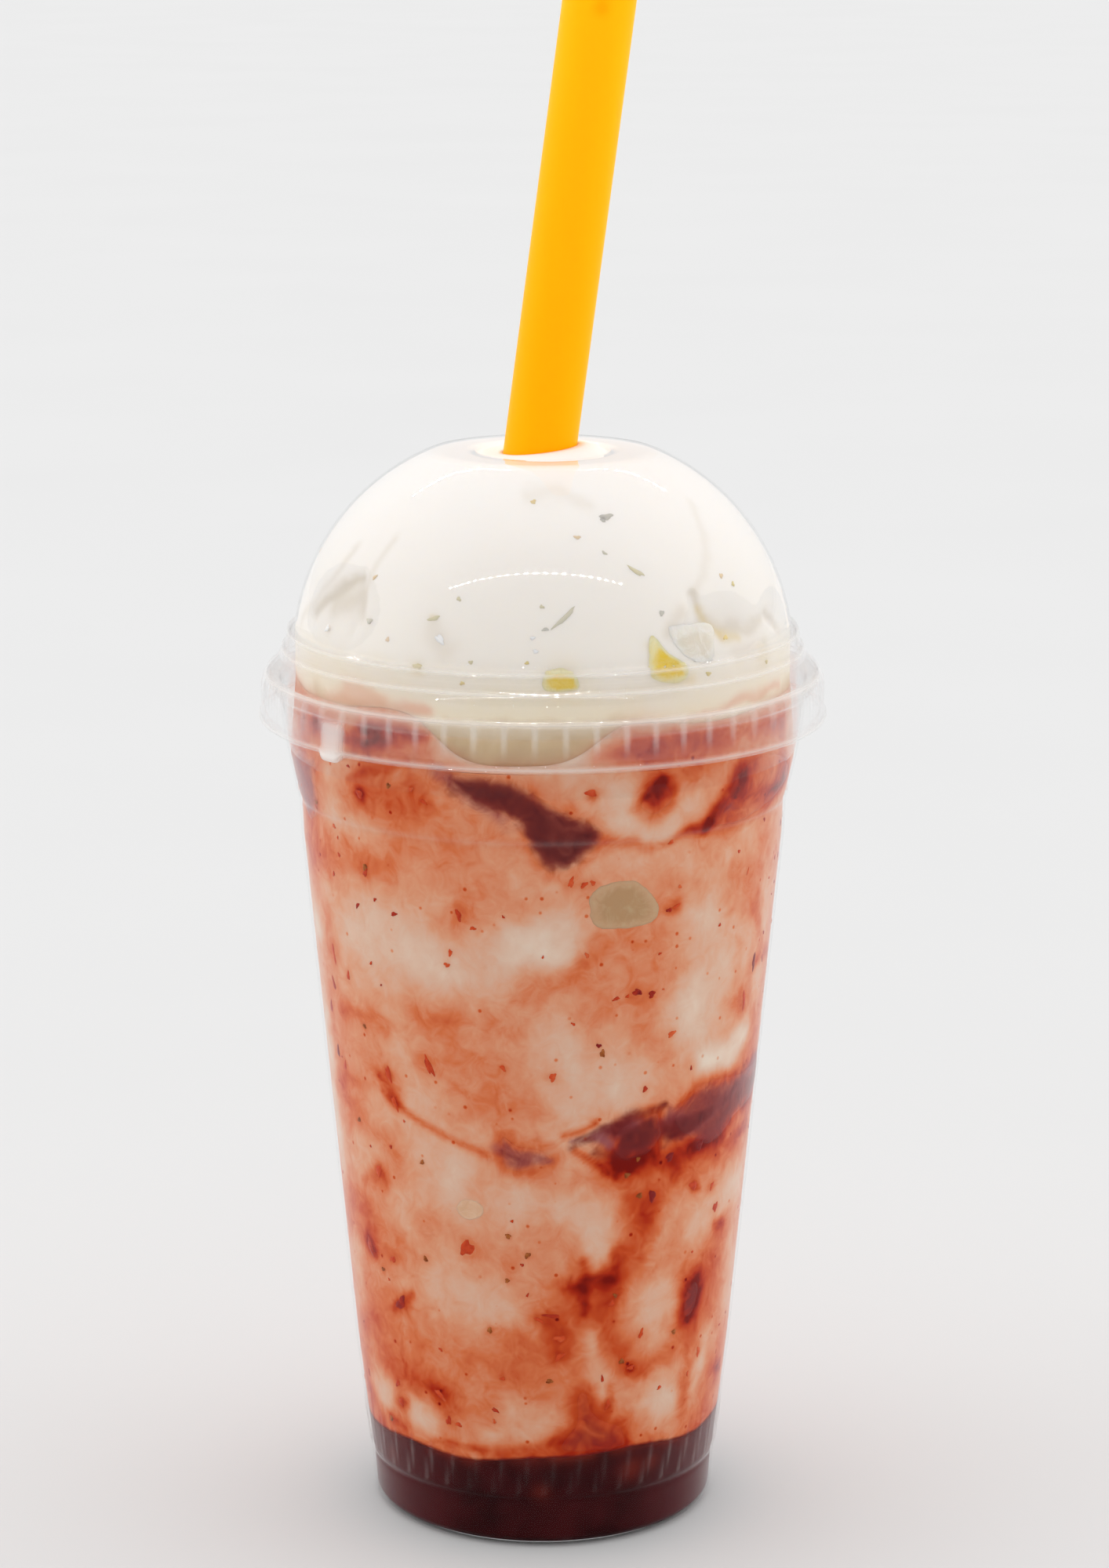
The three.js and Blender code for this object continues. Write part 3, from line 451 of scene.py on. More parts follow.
SAUCE_STROKES = [
    (.45, [(-75, 124, 3), (-62, 126, 4), (-50, 128, 4), (-38, 127, 3)]),
    (.4, [(-48, 138, 4), (-28, 139, 4)]), (.45, [(-20, 118, 3), (-14, 124, 4), (-5, 122, 4)]),
    (.5, [(13, 114, 2.5), (7, 109, 3), (-4, 107, 3.5)]),
    (.4, [(-32, 101, 4), (-20, 99, 4), (-8, 100, 4)]),
    (.25, [(10, 101, 2), (24, 103, 3), (30, 95, 3), (32, 86, 3)]),
    (.65, [(10, 134, 1.2), (20, 131.3, 1.1), (30, 130.6, 1.1), (41, 133.5, 1.4)]),
    (.2, [(-20, 92, 6), (-8, 88, 6)]), (.3, [(-2, 72, 2.6), (6, 70.5, 2.6), (14, 71.5, 2.4)]),
    (.25, [(-22, 83, 4), (-10, 84, 4), (2, 84, 3)]),
    (.45, [(-60, 97, 2), (-50, 97.5, 2.2), (-43, 96, 2)]), (.45, [(-47, 86, 3.5), (-42, 84, 2.5)]),
    (.5, [(-60, 78, 3), (-48, 76, 3.5), (-45, 71, 4)]), (.45, [(-58, 65.5, 1.6), (-50, 66, 2)]),
    (.4, [(-35, 62, 3), (-28, 61, 3)]), (.4, [(-66, 60, 3), (-60, 58, 3)]),
    (.9, [(22, 72, 4.5), (34, 71, 5), (46, 71, 4.2), (56, 72, 3)]),
    (.85, [(30, 66, 5), (27, 60, 4.2), (24, 55, 3.4)]), (.8, [(62, 72, 2.2), (76, 73, 2)]),
    (.8, [(22, 53, 3.2), (15, 50, 3), (8, 50, 2.4)]), (.65, [(20, 48, 3), (17, 44, 2.6), (11, 45, 3)]),
    (.45, [(4, 43, 3.2), (-1, 45, 2)]), (.4, [(3, 38, 3)]),
    (.55, [(21, 41, 2.4), (25, 35, 2.4), (32, 33, 2), (41, 34.5, 2)]),
    (.6, [(48, 38, 2.6), (49, 30, 2.6), (50, 22, 2.4)]), (.5, [(50, 48, 4), (58, 50, 3)]),
    (.45, [(66, 28, 2), (76, 26, 1.6)]), (.5, [(61, 56, 2.4)]),
    (.5, [(-60, 32, 3.4), (-50, 31, 4), (-38, 29, 3), (-30, 28, 2.4)]),
    (.4, [(-68, 36, 4), (-55, 41, 4), (-40, 38, 5)]), (.4, [(-25, 36, 5), (-12, 35, 5)]),
    (.4, [(-8, 40, 3)]), (.4, [(-56, 54, 3.5), (-46, 55, 3)]), (.45, [(-72, 22, 4)]),
    (.5, [(-20, 19, 1.6), (-8, 19.5, 1.4), (2, 20, 1.6)]), (.4, [(-70, 84, 2), (-60, 84, 1.6)]),
    (.5, [(62, 116, 2), (66, 112, 1.6), (70, 107, 1.6)]), (.35, [(54, 110, 1.6), (57, 100, 2)]),
    (.3, [(75, 124, 2)]), (.35, [(33, 121, 2)]), (.4, [(60, 100, 1.6), (62, 97.5, 1.6)]),
    (.3, [(42, 89, 2)]), (.3, [(-70, 100, 3)]), (.55, [(34, 145, 4), (18, 147, 2.2)]),
    (.5, [(50, 141, 3)]), (.35, [(-26, 146, 2)]),
    (.6, [(-72, 148, 3), (-55, 148.5, 3), (-40, 149, 2.6), (-30, 149, 2)]),
]
RED_STROKES = [
    (.5, [(12, 147.6, 1.2), (22, 148.4, 2), (33, 149, 2.2), (45, 148.5, 2)]),
    (.5, [(54, 148, 2), (72, 147.5, 2.2)]), (.4, [(40, 134, 1.6), (44, 137, 2.4), (50, 141, 2.2)]),
    (.45, [(52, 137.5, 2), (66, 137, 1.7), (82, 137, 1.6)]), (.5, [(33, 133, 1.2), (40, 133, 1.4)]),
    (.75, [(-45, 139, 1.5)]), (.5, [(-48, 141.5, .9), (-40, 144, 1), (-32, 146, 1)]),
    (.45, [(-46, 147, 1.6), (-36, 149.5, 1.6)]), (.4, [(-30, 150.5, 1.2)]),
    (.6, [(-47, 84, .8), (-40, 81.5, .9), (-34, 80, .8), (-26, 77.6, .8), (-15, 75.4, .9)]),
    (.55, [(-47, 87, 1), (-42, 82.6, 1)]), (.8, [(6, 80.2, .7), (14, 81.6, .7)]),
    (.7, [(9, 77, .8), (15, 73.6, .7), (20, 71.2, .7)]),
    (.55, [(20, 73, 1.6), (30, 73, 2), (44, 73.6, 2)]), (.5, [(25, 66, 2.4), (30, 62, 2.6)]),
    (.5, [(13, 51.5, 1.8), (9, 51, 1.7), (20, 52.5, 1.8)]), (.8, [(25.4, 140.8, 2.3)]),
    (.8, [(23.2, 141, 1), (27, 143, 1.2)]), (.6, [(10.8, 141.5, 1)]),
    (.8, [(-45, 150.4, 1.3), (-36, 151.2, 1.6), (-27, 150.6, 1.1)]),
    (.6, [(-64, 148.4, 1.6), (-50, 148, 1.4), (-38, 148.6, 1.6)]),
    (.6, [(20, 150, 1.6), (32, 150.6, 2), (48, 150.5, 2.2), (60, 149.5, 2.2), (72, 148.5, 2)]),
    (.5, [(-43, 151.5, 1.2), (-36, 152, 1)]), (.5, [(10.5, 56, .7), (11.5, 52, 1.3), (11.3, 46, .9)]),
    (.5, [(20, 57, 2.4), (18, 50, 2)]), (.6, [(-41, 46.3, .9), (-45, 43.8, 1.2), (-49, 42, .9)]),
    (.6, [(-60, 53, 1.6), (-57, 52, 1.3)]), (.75, [(-43.5, 87.8, 1.2)]), (.6, [(-51, 68.5, 1.2)]),
    (.6, [(46, 66.6, .8), (49, 65.4, .7)]), (.45, [(61, 56.5, 1.2), (58, 57, .9)]),
    (.6, [(68, 105, 1.2), (74, 105.4, 1.4), (82, 104, 1.4)]), (.35, [(-78, 82, 2.4), (-68, 82, 2.2)]),
    (.35, [(-76, 91, 1.6), (-70, 92, 1.4)]), (.5, [(-50, 24, 1.3), (-47, 24.6, 1)]),
    (.25, [(-38, 29, 1.2), (-30, 28, 1)]), (.3, [(-36, 18.5, .9), (-28, 18.6, .8), (-18, 18.6, .8)]),
    (.5, [(-57, 19.6, 1.3), (-50, 19, 1)]), (.45, [(70, 27, 1), (78, 25.5, .8)]), (.5, [(27, 34, .7)]),
    (.5, [(20, 31, 1.2), (20.4, 27, 1)]),
]
HAZE_STROKES = [
    (.6, [(-17, 140, 1.4), (-10, 137.6, 2.2), (-6, 136.6, 1.6)]),
    (.25, [(-9, 135.6, 1.2), (-6, 134.6, 1.1)]), (.2, [(2, 138, 1), (6, 136, .9)]),
    (.5, [(-1, 75.5, 1.1), (2, 77, 1)]), (.25, [(28, 82.5, .9), (33, 81.6, .8)]),
    (.3, [(54, 83, 1), (60, 82, 1)]), (.5, [(64, 83, 1.8), (76, 84, 1.8)]),
]
DARK_STROKES = [
    (.75, [(20, 79.5, 1.8), (26, 79, 2.4)]),
    (.6, [(10, 79.4, .8), (18, 80.5, 1.2), (26, 82.5, 1.2), (33, 83, 1)]),
    (.7, [(30, 79, 2.2), (38, 79.5, 2.4), (46, 80, 2.4)]),
    (.7, [(36, 78, 1.4), (52, 80, 2), (66, 83, 2)]), (.35, [(-42, 146, .8), (-56, 144.6, .8)]),
    (.35, [(45, 136, 1.2), (48, 136.5, 1)]), (.6, [(-20, 142.5, 2), (-12, 142, 2)]),
    (.5, [(8, 77.8, .9), (13, 78.6, 1)]), (.5, [(14, 76, 1.2), (20, 75.4, 1.4), (28, 75.6, 1.2)]),
    (.22, [(7, 52.5, .8), (12, 51.5, 1), (17, 53, .8)]), (.22, [(11, 50, .8), (11.2, 46, .7)]),
    (.5, [(-10, 76.5, 1), (-6, 75.6, 1)]), (.5, [(34, 75.5, .9)]),
    (.55, [(150, 118, 2), (166, 112, 2.4)]), (.6, [(-142, 72, 1.6), (-120, 69, 2), (-108, 72, 1.2)]),
]
JUICE_STROKES = [
    (.55, [(-24, 145, 2), (-16, 141, 2.5), (-9, 138, 2)]), (.35, [(-30, 146, 2)]),
    (.9, [(18, 77.5, 1.4), (14, 79.5, 1), (24, 80.5, 2.4)]), (.6, [(8, 79.2, .8), (14, 79, 1)]),
    (.85, [(36, 80, 2.6), (47, 79, 3), (58, 81, 2.2), (70, 83.5, 1.8), (82, 85, 1.6)]),
    (.5, [(-12, 77, 1.4), (-4, 75.5, 1.4), (2, 75, 1)]), (.4, [(36, 73.4, .9)]), (.35, [(47, 74, .9)]),
    (.45, [(31, 66.6, 1)]), (.5, [(47, 136, 1.6)]), (.6, [(-76, 138, 4), (-68, 137, 3)]),
    (.5, [(-66, 134.4, .8)]), (.4, [(74, 105.4, .8)]), (.15, [(12, 21, 1.6), (20, 20, 1.6)]),
    (.45, [(-51.5, 95.5, .6)]), (.35, [(-58.5, 76.8, .7)]),
]


def cup_radius(z):
    """Outer radius of the cup's wall at a height."""
    heights = [p[1] for p in CUP_OUTSIDE]
    return np.interp(z, heights, [p[0] for p in CUP_OUTSIDE])


def contents_radius(z):
    """Radius of the food at a height: just inside the wall, and clear of it below the rim."""
    neck = cup_radius(NECK_HEIGHT) - MILK_INSET
    clear_of_wall = neck + (COLUMN_RADIUS - neck) * (z - NECK_HEIGHT) / (WHITE_LEVEL - NECK_HEIGHT)
    return np.where(z > NECK_HEIGHT, clear_of_wall, cup_radius(z) - MILK_INSET)


def syrup_height(angle, radius):
    """Height of the syrup: its level and a low swell, a sum of sines that grows towards the wall."""
    turn = np.radians(angle)
    swell = np.sin(2 * turn + 0.6) + 0.6 * np.sin(5 * turn) + 0.4 * np.cos(9 * turn + 1)
    return SYRUP_LEVEL + SYRUP_SWELL * swell * (radius / 32.05) ** 2


def white_height(angle, radius):
    """Height where marbled milk meets white milk: waves, and at the front a dip with a flat bottom,
    depth * exp(-(turn / width)^4)."""
    turn = np.radians(angle)
    dip = DIP_DEPTH * np.exp(-((wrapped(angle) - DIP_ANGLE) / DIP_WIDTH) ** 4)
    waves = 0.8 * np.sin(turn * 3 + 2) + 0.5 * np.sin(turn * 7) - 1.2 * np.sin(turn)
    return WHITE_LEVEL + (radius / COLUMN_RADIUS) ** 3 * (waves - dip)


def lattice_noise(points, size, seed):
    """Smooth noise from -1 to 1: random values on a cubic lattice of the given cell size (mm),
    joined by the quintic 6t^5 - 15t^4 + 10t^3 along each axis."""
    p = points / size + seed * 17.31
    cell = np.floor(p).astype(np.int64)
    t = p - cell
    t = t * t * t * (t * (t * 6 - 15) + 10)
    total = np.zeros(p.shape[:-1])
    for corner in range(8):
        step = np.array([corner & 1, corner >> 1 & 1, corner >> 2 & 1])
        key = ((cell + step) * np.array([73856093, 19349663, 83492791])).sum(-1) + seed * 7919
        key = (key ^ (key >> 13)) * 1274126177 & 0x7FFFFFFF
        value = ((key ^ (key >> 15)) & 0xFFFFF) / 0x7FFFF - 1.0
        total += value * np.prod(np.where(step, t, 1 - t), axis=-1)
    return total


def cloud_noise(points, size, seed, octaves=3):
    """Sum of lattice noise, each octave half as large and half as strong as the last."""
    layers = [lattice_noise(points, size / 2 ** k, seed + k) / 2 ** k for k in range(octaves)]
    return sum(layers) / (2 - 0.5 ** (octaves - 1))


def strokes(angle, height, radius, paths):
    """How much of each point soft strokes cover: a stroke covers strength * exp(-(d / w)^2) at a
    distance d from its path of half width w, and strokes join as 1 - product of (1 - cover)."""
    bare = np.ones(angle.shape)
    for strength, path in paths:
        ends = path if len(path) > 1 else path * 2
        near = np.full(angle.shape, np.inf)
        for (a0, z0, w0), (a1, z1, w1) in zip(ends[:-1], ends[1:]):
            u = np.radians(wrapped(angle - a0)) * radius
            du, dv = np.radians(a1 - a0) * radius, z1 - z0
            t = np.clip((u * du + (height - z0) * dv) / np.maximum(du * du + dv * dv, 1e-9), 0, 1)
            distance = np.hypot(u - t * du, height - z0 - t * dv) / (w0 + (w1 - w0) * t)
            near = np.minimum(near, distance)
        bare *= 1 - strength * np.exp(-near ** 2)
    return 1 - bare


# The pieces in the wall, as (angle, height, depth, outline in mm across and up). The milk is stained
# round the fruit, so its colour needs them here.
PIECES = {
    "strawberry_piece_1": (-4, 137, 7, [(-13.7, 7.5), (-9.2, 2.1), (-1.9, -0.4), (2.8, -8.2),
        (6.2, -9.2), (9.7, -7.6), (13.1, -2), (4.1, 3.3), (-3.6, 7.4)]),
    "strawberry_piece_2": (58, 138, 6, [(-12.6, -4.1), (-7.2, -5), (0, -4.2), (12.1, -1.7),
        (13.4, 1.4), (4.9, 5.4), (-4.9, 5.4), (-9.9, 1.3)]),
    "strawberry_piece_3": (-72, 137, 6, [(-10, 3.8), (-7.6, -3), (-0.4, -6.8), (5.6, -3.4), (7, 1.2),
        (6.6, 5.8)]),
    "strawberry_piece_4": (60, 80.5, 6, [(-15.6, -0.6), (-13.1, -3.4), (-5.3, -6.7), (2.7, -3.6),
        (13.3, -2.5), (19, -0.5), (16.7, 3.5), (2.7, 3.8), (-5.8, 5.1), (-10, 4.8), (-13.9, 2.2)]),
    "strawberry_piece_5": (25.5, 78.5, 5, [(-4.7, -0.6), (-4.3, -3.1), (-1.5, -4.3), (3.1, -3.1),
        (4.5, 0.1), (3.5, 3.5), (0.4, 3.2), (-3.3, 1.5)]),
    "strawberry_piece_6": (15.5, 22.9, 6, [(-5.6, -3.3), (-2, -4.1), (5.6, -4.3), (6.4, -3.2),
        (5.4, -0.4), (2.3, 1.2), (-0.5, 3.8), (-1.5, 7), (-2.9, 6.4), (-2.8, 1.7), (-4.2, -0.5)]),
    "strawberry_piece_7": (48.5, 44.2, 3, [(-1.5, -2.4), (-0.2, -3), (1.2, -1.8), (1.8, 1.4), (0.9, 3),
        (-0.8, 2.6), (-1.7, 0.4)]),
    "strawberry_piece_8": (25.6, 140.2, 3, [(-2.8, -1.6), (0.4, -2.7), (2.9, -0.5), (1.9, 2.3),
        (-1, 2.4), (-2.4, 0.8)]),
    "strawberry_piece_9": (-4.5, 76, 3.5, [(-4.1, 3.1), (-3.6, -2.5), (0, -2.9), (4.8, -1.1),
        (2.7, 0.9), (-1.4, 1.5)]),
    "strawberry_piece_10": (157, 116, 6, [(-10.5, 3.4), (-7, -2.8), (1.5, -5.6), (8.4, -3.9),
        (10.8, 0.6), (3.2, 2.9), (-4.1, 6.1)]),
    "strawberry_piece_11": (-131, 70, 6, [(-12, -2.7), (-4.6, -5.6), (6.1, -3.2), (11.6, 1.3),
        (5.3, 4.9), (-5.2, 4.2)]),
    "strawberry_piece_12": (172, 38, 5, [(-4.4, -3.9), (1.6, -5), (5.5, -0.7), (2.6, 4.6), (-2.9, 3.9),
        (-5.3, 0.3)]),
    "jelly_piece_1": (19.5, 121.4, 5, [(-6.5, 1), (-5.7, -3.1), (-0.7, -4.4), (4.4, -3.9), (6.6, -1.6),
        (4.8, 1.7), (0.4, 4.4), (-4.5, 3.7)]),
    "jelly_piece_2": (-20.2, 65, 2.5, [(-2.5, 0), (-1.7, -1.5), (0.3, -1.9), (2.1, -1), (2.5, 0.6),
        (1.2, 1.7), (-1.3, 1.6)]),
    "fruit_cube_1": (4, 161.2, 5, [(-2.8, -1.6), (2.7, -1.6), (3, 0.7), (1.6, 1.9), (-0.4, 2.6),
        (-2.9, 1.2)]),
    "fruit_cube_2": (29, 163.5, 5, [(-3.6, -2), (0.3, -3.9), (3.4, -3.6), (4, -1.2), (0.2, 1.7),
        (-3, 4.9)]),
    "jelly_cube": (36.8, 166, 5, [(-4.9, 3.1), (-4.5, 0.5), (-0.7, -3), (3.5, -3.1), (4.6, 2.1),
        (0.2, 3.2)]),
}
# How each piece of fruit is coloured: dark flesh, purple juice and red sauce.
PIECE_STAINS = {
    "strawberry_piece_1": (1.0, 0.4, 0.15), "strawberry_piece_2": (0.16, 0.15, 0.28),
    "strawberry_piece_3": (0.05, 0.75, 0.1), "strawberry_piece_4": (0.6, 0.6, 0.3),
    "strawberry_piece_5": (0.9, 0.4, 0.4), "strawberry_piece_6": (0.4, 0.1, 0.26),
    "strawberry_piece_7": (0.3, 0.25, 0.4), "strawberry_piece_8": (0.02, 0, 0.36),
    "strawberry_piece_9": (0.4, 0.6, 0.25), "strawberry_piece_10": (1.0, 0.1, 0.4),
    "strawberry_piece_11": (0.7, 0.3, 0.4), "strawberry_piece_12": (0.5, 0, 0.6),
}


# Scraps of pulp, as angle, height, length, width, tilt and tone, from 0, orange, to 1, dark maroon,
# and seeds, as angle and height. Sauce has soaked out round each.
PULP_BITS = [
    (-45, 139, 2.2, 1.8, 80, .45), (-30, 141.5, 1.2, .6, 20, .3), (-27, 139.5, 1.4, .7, -20, .4),
    (-46, 124.5, 1.8, 1.2, 60, .5), (-20, 119.5, 2.4, 1, 100, .45), (-22.5, 112.5, 1.3, .8, 90, .3),
    (-23.5, 110.2, 1.2, .9, 0, .35), (10.5, 142, 2.4, 1.6, -20, .35), (6.5, 126, 2, 1, 70, .35),
    (9.5, 125.5, 1.6, .8, 30, .35), (11.5, 125.8, 1.2, .7, -40, .3), (31, 119.5, 1.2, .8, 0, .6),
    (33, 120, 1.6, .6, 30, .3), (23.5, 105.2, 2.2, 1.4, -20, .65), (27.5, 104.5, 1.8, 1.4, 40, .6),
    (-30, 91, 5, 1.5, 112, .45), (-43.5, 87.8, 3.6, 1.8, 110, .4), (-42, 82.5, 3, 1, 120, .35),
    (-10, 92, 1.6, .7, -50, .3), (2.5, 90.5, 1.9, 1.5, 60, .3), (27, 87, 1.3, .9, 90, .5),
    (34, 96.5, 1.9, 1.3, 30, .25), (62, 98.5, 4.5, 1, 95, .35), (66, 105, 4, 1.4, 85, .75),
    (-51, 68.5, 3, 1.3, 75, .3), (45.5, 66.5, 3, 1.6, -35, .45), (54, 65, 1.6, 1, 60, .35),
    (31, 66.5, 3, 1.6, 85, .8), (36, 73.3, 2.4, 1.8, 40, .85), (47, 74, 2.6, 1.6, 50, .8),
    (-21.5, 57.5, 4.4, 3, 60, .4), (-59, 52.5, 5, 2, 108, .5), (-48, 52, 2, 1.3, 30, .35),
    (-46, 44, 4.4, 2.4, 60, .65), (2.5, 45.4, 3, .8, -8, .6), (-1, 44.6, 2, .7, -30, .4),
    (5, 37.5, 2.6, .9, 40, .4), (5, 41, 2.4, 1.4, 0, .3), (30, 40.3, 2, .9, 70, .35),
    (57, 60.5, 2.6, 2, 70, .4), (-30.5, 23.2, 2, 1.3, 80, .5), (-50, 24, 2.4, 1.6, 70, .45),
    (-51, 27.5, 1.8, 1.2, 50, .45), (-33, 28, 2.6, 1.1, -40, .3), (20, 47, 1.6, 1, 30, .4),
    (27, 34, 1.4, .9, 20, .4), (20, 27.5, 2.2, .7, 80, .4), (55, 33, 2.2, 1.4, 90, .3),
    (-12, 33, 1, .7, 0, .3), (-66, 101, 3, 1, 110, .5), (-64, 107, 4, 1, 100, .35),
    (-70, 96, 3, 1.4, 80, .5), (-68, 88, 2.6, 1.6, 95, .7), (-64, 86, 2, 1, 60, .4),
    (14, 96, 1, .8, 0, .9), (-57, 104, 2, 1, 70, .35),
]
SEEDS = [
    (-65, 134.5), (15, 94.5), (-51.5, 95.5), (-58.5, 76.8), (-34, 72.5), (23, 71.2), (27, 67),
    (-4.2, 57), (-9.5, 60.5), (-53, 49.3), (-35, 54), (-10, 52), (-15.5, 42.2), (2, 32.8), (24, 35.5),
    (42.3, 39), (-57, 19.5), (21, 48.5), (-36, 141.5), (-46, 125.5), (26, 74),
]
BIT_HALOES = [(0.8, [(bit[0], bit[1], 0.5 + 0.5 * bit[2])]) for bit in PULP_BITS]
BIT_HALOES += [(0.6, [(a, z, 0.9)]) for a, z in SEEDS]
# How much each thing adds to the sauce at a point of the wall, or takes away from it.
SAUCE_THROUGHOUT, DRIFT_TAKES, FINE_ADDS, MILK_TAKES, STROKE_ADDS = 0.41, 0.21, 0.06, 0.36, 0.30
RED_ADDS, SETTLED_ADDS, LIFTED_TAKES, HALO_ADDS, HAZE_TAKES = 0.42, 0.3, 0.2, 0.16, 0.25


def smooth_outline(outline, count):
    """Points round a closed outline, on the Catmull-Rom curve through its corners."""
    corners = np.array(outline, float)
    at = np.arange(count) * len(corners) / count
    k = at.astype(int)
    t = (at - k)[:, None]
    p0, p1, p2, p3 = (corners[(k + i) % len(corners)] for i in (-1, 0, 1, 2))
    return 0.5 * (2 * p1 + (p2 - p0) * t + (2 * p0 - 5 * p1 + 4 * p2 - p3) * t ** 2
                  + (3 * p1 - p0 - 3 * p2 + p3) * t ** 3)


def outline_distance(across, up, corners):
    """Distance to a closed outline, below zero inside. Inside means that a ray to the right crosses
    the outline's sides an odd number of times."""
    a, b = corners, np.roll(corners, -1, 0)
    side = b - a
    x, y = across[:, None] - a[:, 0], up[:, None] - a[:, 1]
    t = np.clip((x * side[:, 0] + y * side[:, 1]) / (side ** 2).sum(1), 0, 1)
    distance = np.hypot(x - t * side[:, 0], y - t * side[:, 1]).min(1)
    spans = (a[:, 1] > up[:, None]) != (b[:, 1] > up[:, None])
    slope = np.where(side[:, 1] == 0, 1, side[:, 1])
    crossed = spans & (x < y * side[:, 0] / slope)
    return np.where(crossed.sum(1) % 2 == 1, -distance, distance)


def stains(angle, height, radius):
    """Dark flesh, purple juice and red sauce round the pieces of fruit: full inside a piece's
    outline, ragged across it by noise, with sauce soaking about 2 mm further."""
    flesh, juice, sauce = (np.zeros(angle.shape) for _ in range(3))
    ragged = 0.8 * cloud_noise(around_axis(radius, angle, height), 3.2, 101)
    for name, amounts in PIECE_STAINS.items():
        at, level, _, outline = PIECES[name]
        across = np.radians(wrapped(angle - at)) * radius
        up = height - level
        reach = np.abs(outline).max(0) + 6
        near = (np.abs(across) < reach[0]) & (np.abs(up) < reach[1])
        share = min(1, (reach.min() - 6) / 5)
        distance = outline_distance(across[near], up[near], smooth_outline(outline, 60))
        distance = distance + share * ragged[near]
        inside = 1 - eased(distance, -2.4 * share, 1.2 * share)
        soaked = np.exp(-(np.maximum(distance, 0) / 1.8) ** 2)
        flesh[near] = np.maximum(flesh[near], amounts[0] * inside)
        juice[near] = np.maximum(juice[near], amounts[1] * inside)
        sauce[near] = np.maximum(sauce[near], amounts[2] * soaked)
    return flesh, juice, sauce


def marbling(angle, height, radius):
    """Amounts of sauce, purple juice and dark flesh at points of the wall: strokes bent by noise and
    the stains of the fruit, on drifts of sauce that run everywhere."""
    points = around_axis(radius, angle, height)
    bend_a = 2.4 * cloud_noise(points, 9, 3) + 0.9 * cloud_noise(points, 2.6, 7, 2)
    bend_z = 2.0 * cloud_noise(points, 9, 11) + 0.9 * cloud_noise(points, 2.6, 17, 2)
    far = (angle + np.degrees(bend_a / radius), height + bend_z, radius)
    near = (angle + np.degrees(0.45 * bend_a / radius), height + 0.45 * bend_z, radius)
    swirled = points + 10 * np.stack([cloud_noise(points, 24, s, 3) for s in (23, 29, 31)], -1)
    drift = cloud_noise(swirled * (1, 1, 0.8), 15, 41, 4)
    fine = cloud_noise(swirled, 3.0, 51)
    behind = (far[0] + BACK_TURN, BACK_FLIP - far[1], radius)
    milk = np.maximum(strokes(*far, MILK_STROKES), strokes(*behind, MILK_STROKES))
    sauce = np.maximum(strokes(*far, SAUCE_STROKES), strokes(*behind, SAUCE_STROKES))
    red = np.maximum(strokes(*near, RED_STROKES), 0.8 * strokes(*behind, RED_STROKES))
    juice = strokes(*near, JUICE_STROKES)
    dark = strokes(*near, DARK_STROKES)
    flesh, piece_juice, soaked = stains(angle, height, radius)
    haze = strokes(*near, HAZE_STROKES)
    halo = strokes(angle, height, radius, BIT_HALOES)
    to_syrup = height - syrup_height(angle, radius)
    to_white = white_height(angle, radius) - height
    settled = np.exp(-np.maximum(to_syrup, 0) / 1.3) * (0.5 + 0.5 * fine)
    lifted = np.exp(-np.maximum(to_white, 0) / 1.6)
    turned = np.abs(wrapped(angle))
    deeper = 0.1 * (1 - eased(height, 35, 70)) + 0.1 * eased(turned, 45, 75)
    amount = SAUCE_THROUGHOUT + deeper - DRIFT_TAKES * drift + FINE_ADDS * fine
    amount = amount - MILK_TAKES * milk * (1 - 0.5 * sauce) + STROKE_ADDS * sauce + RED_ADDS * red
    amount = amount + SETTLED_ADDS * settled - LIFTED_TAKES * lifted + soaked
    amount = amount + HALO_ADDS * halo - HAZE_TAKES * haze
    flesh = np.maximum(np.maximum(dark, flesh) * (1 - 0.65 * haze), 0.8 * np.exp(-(to_syrup / 0.5) ** 2))
    return amount, np.maximum(np.maximum(juice, piece_juice), 0.55 * haze), flesh


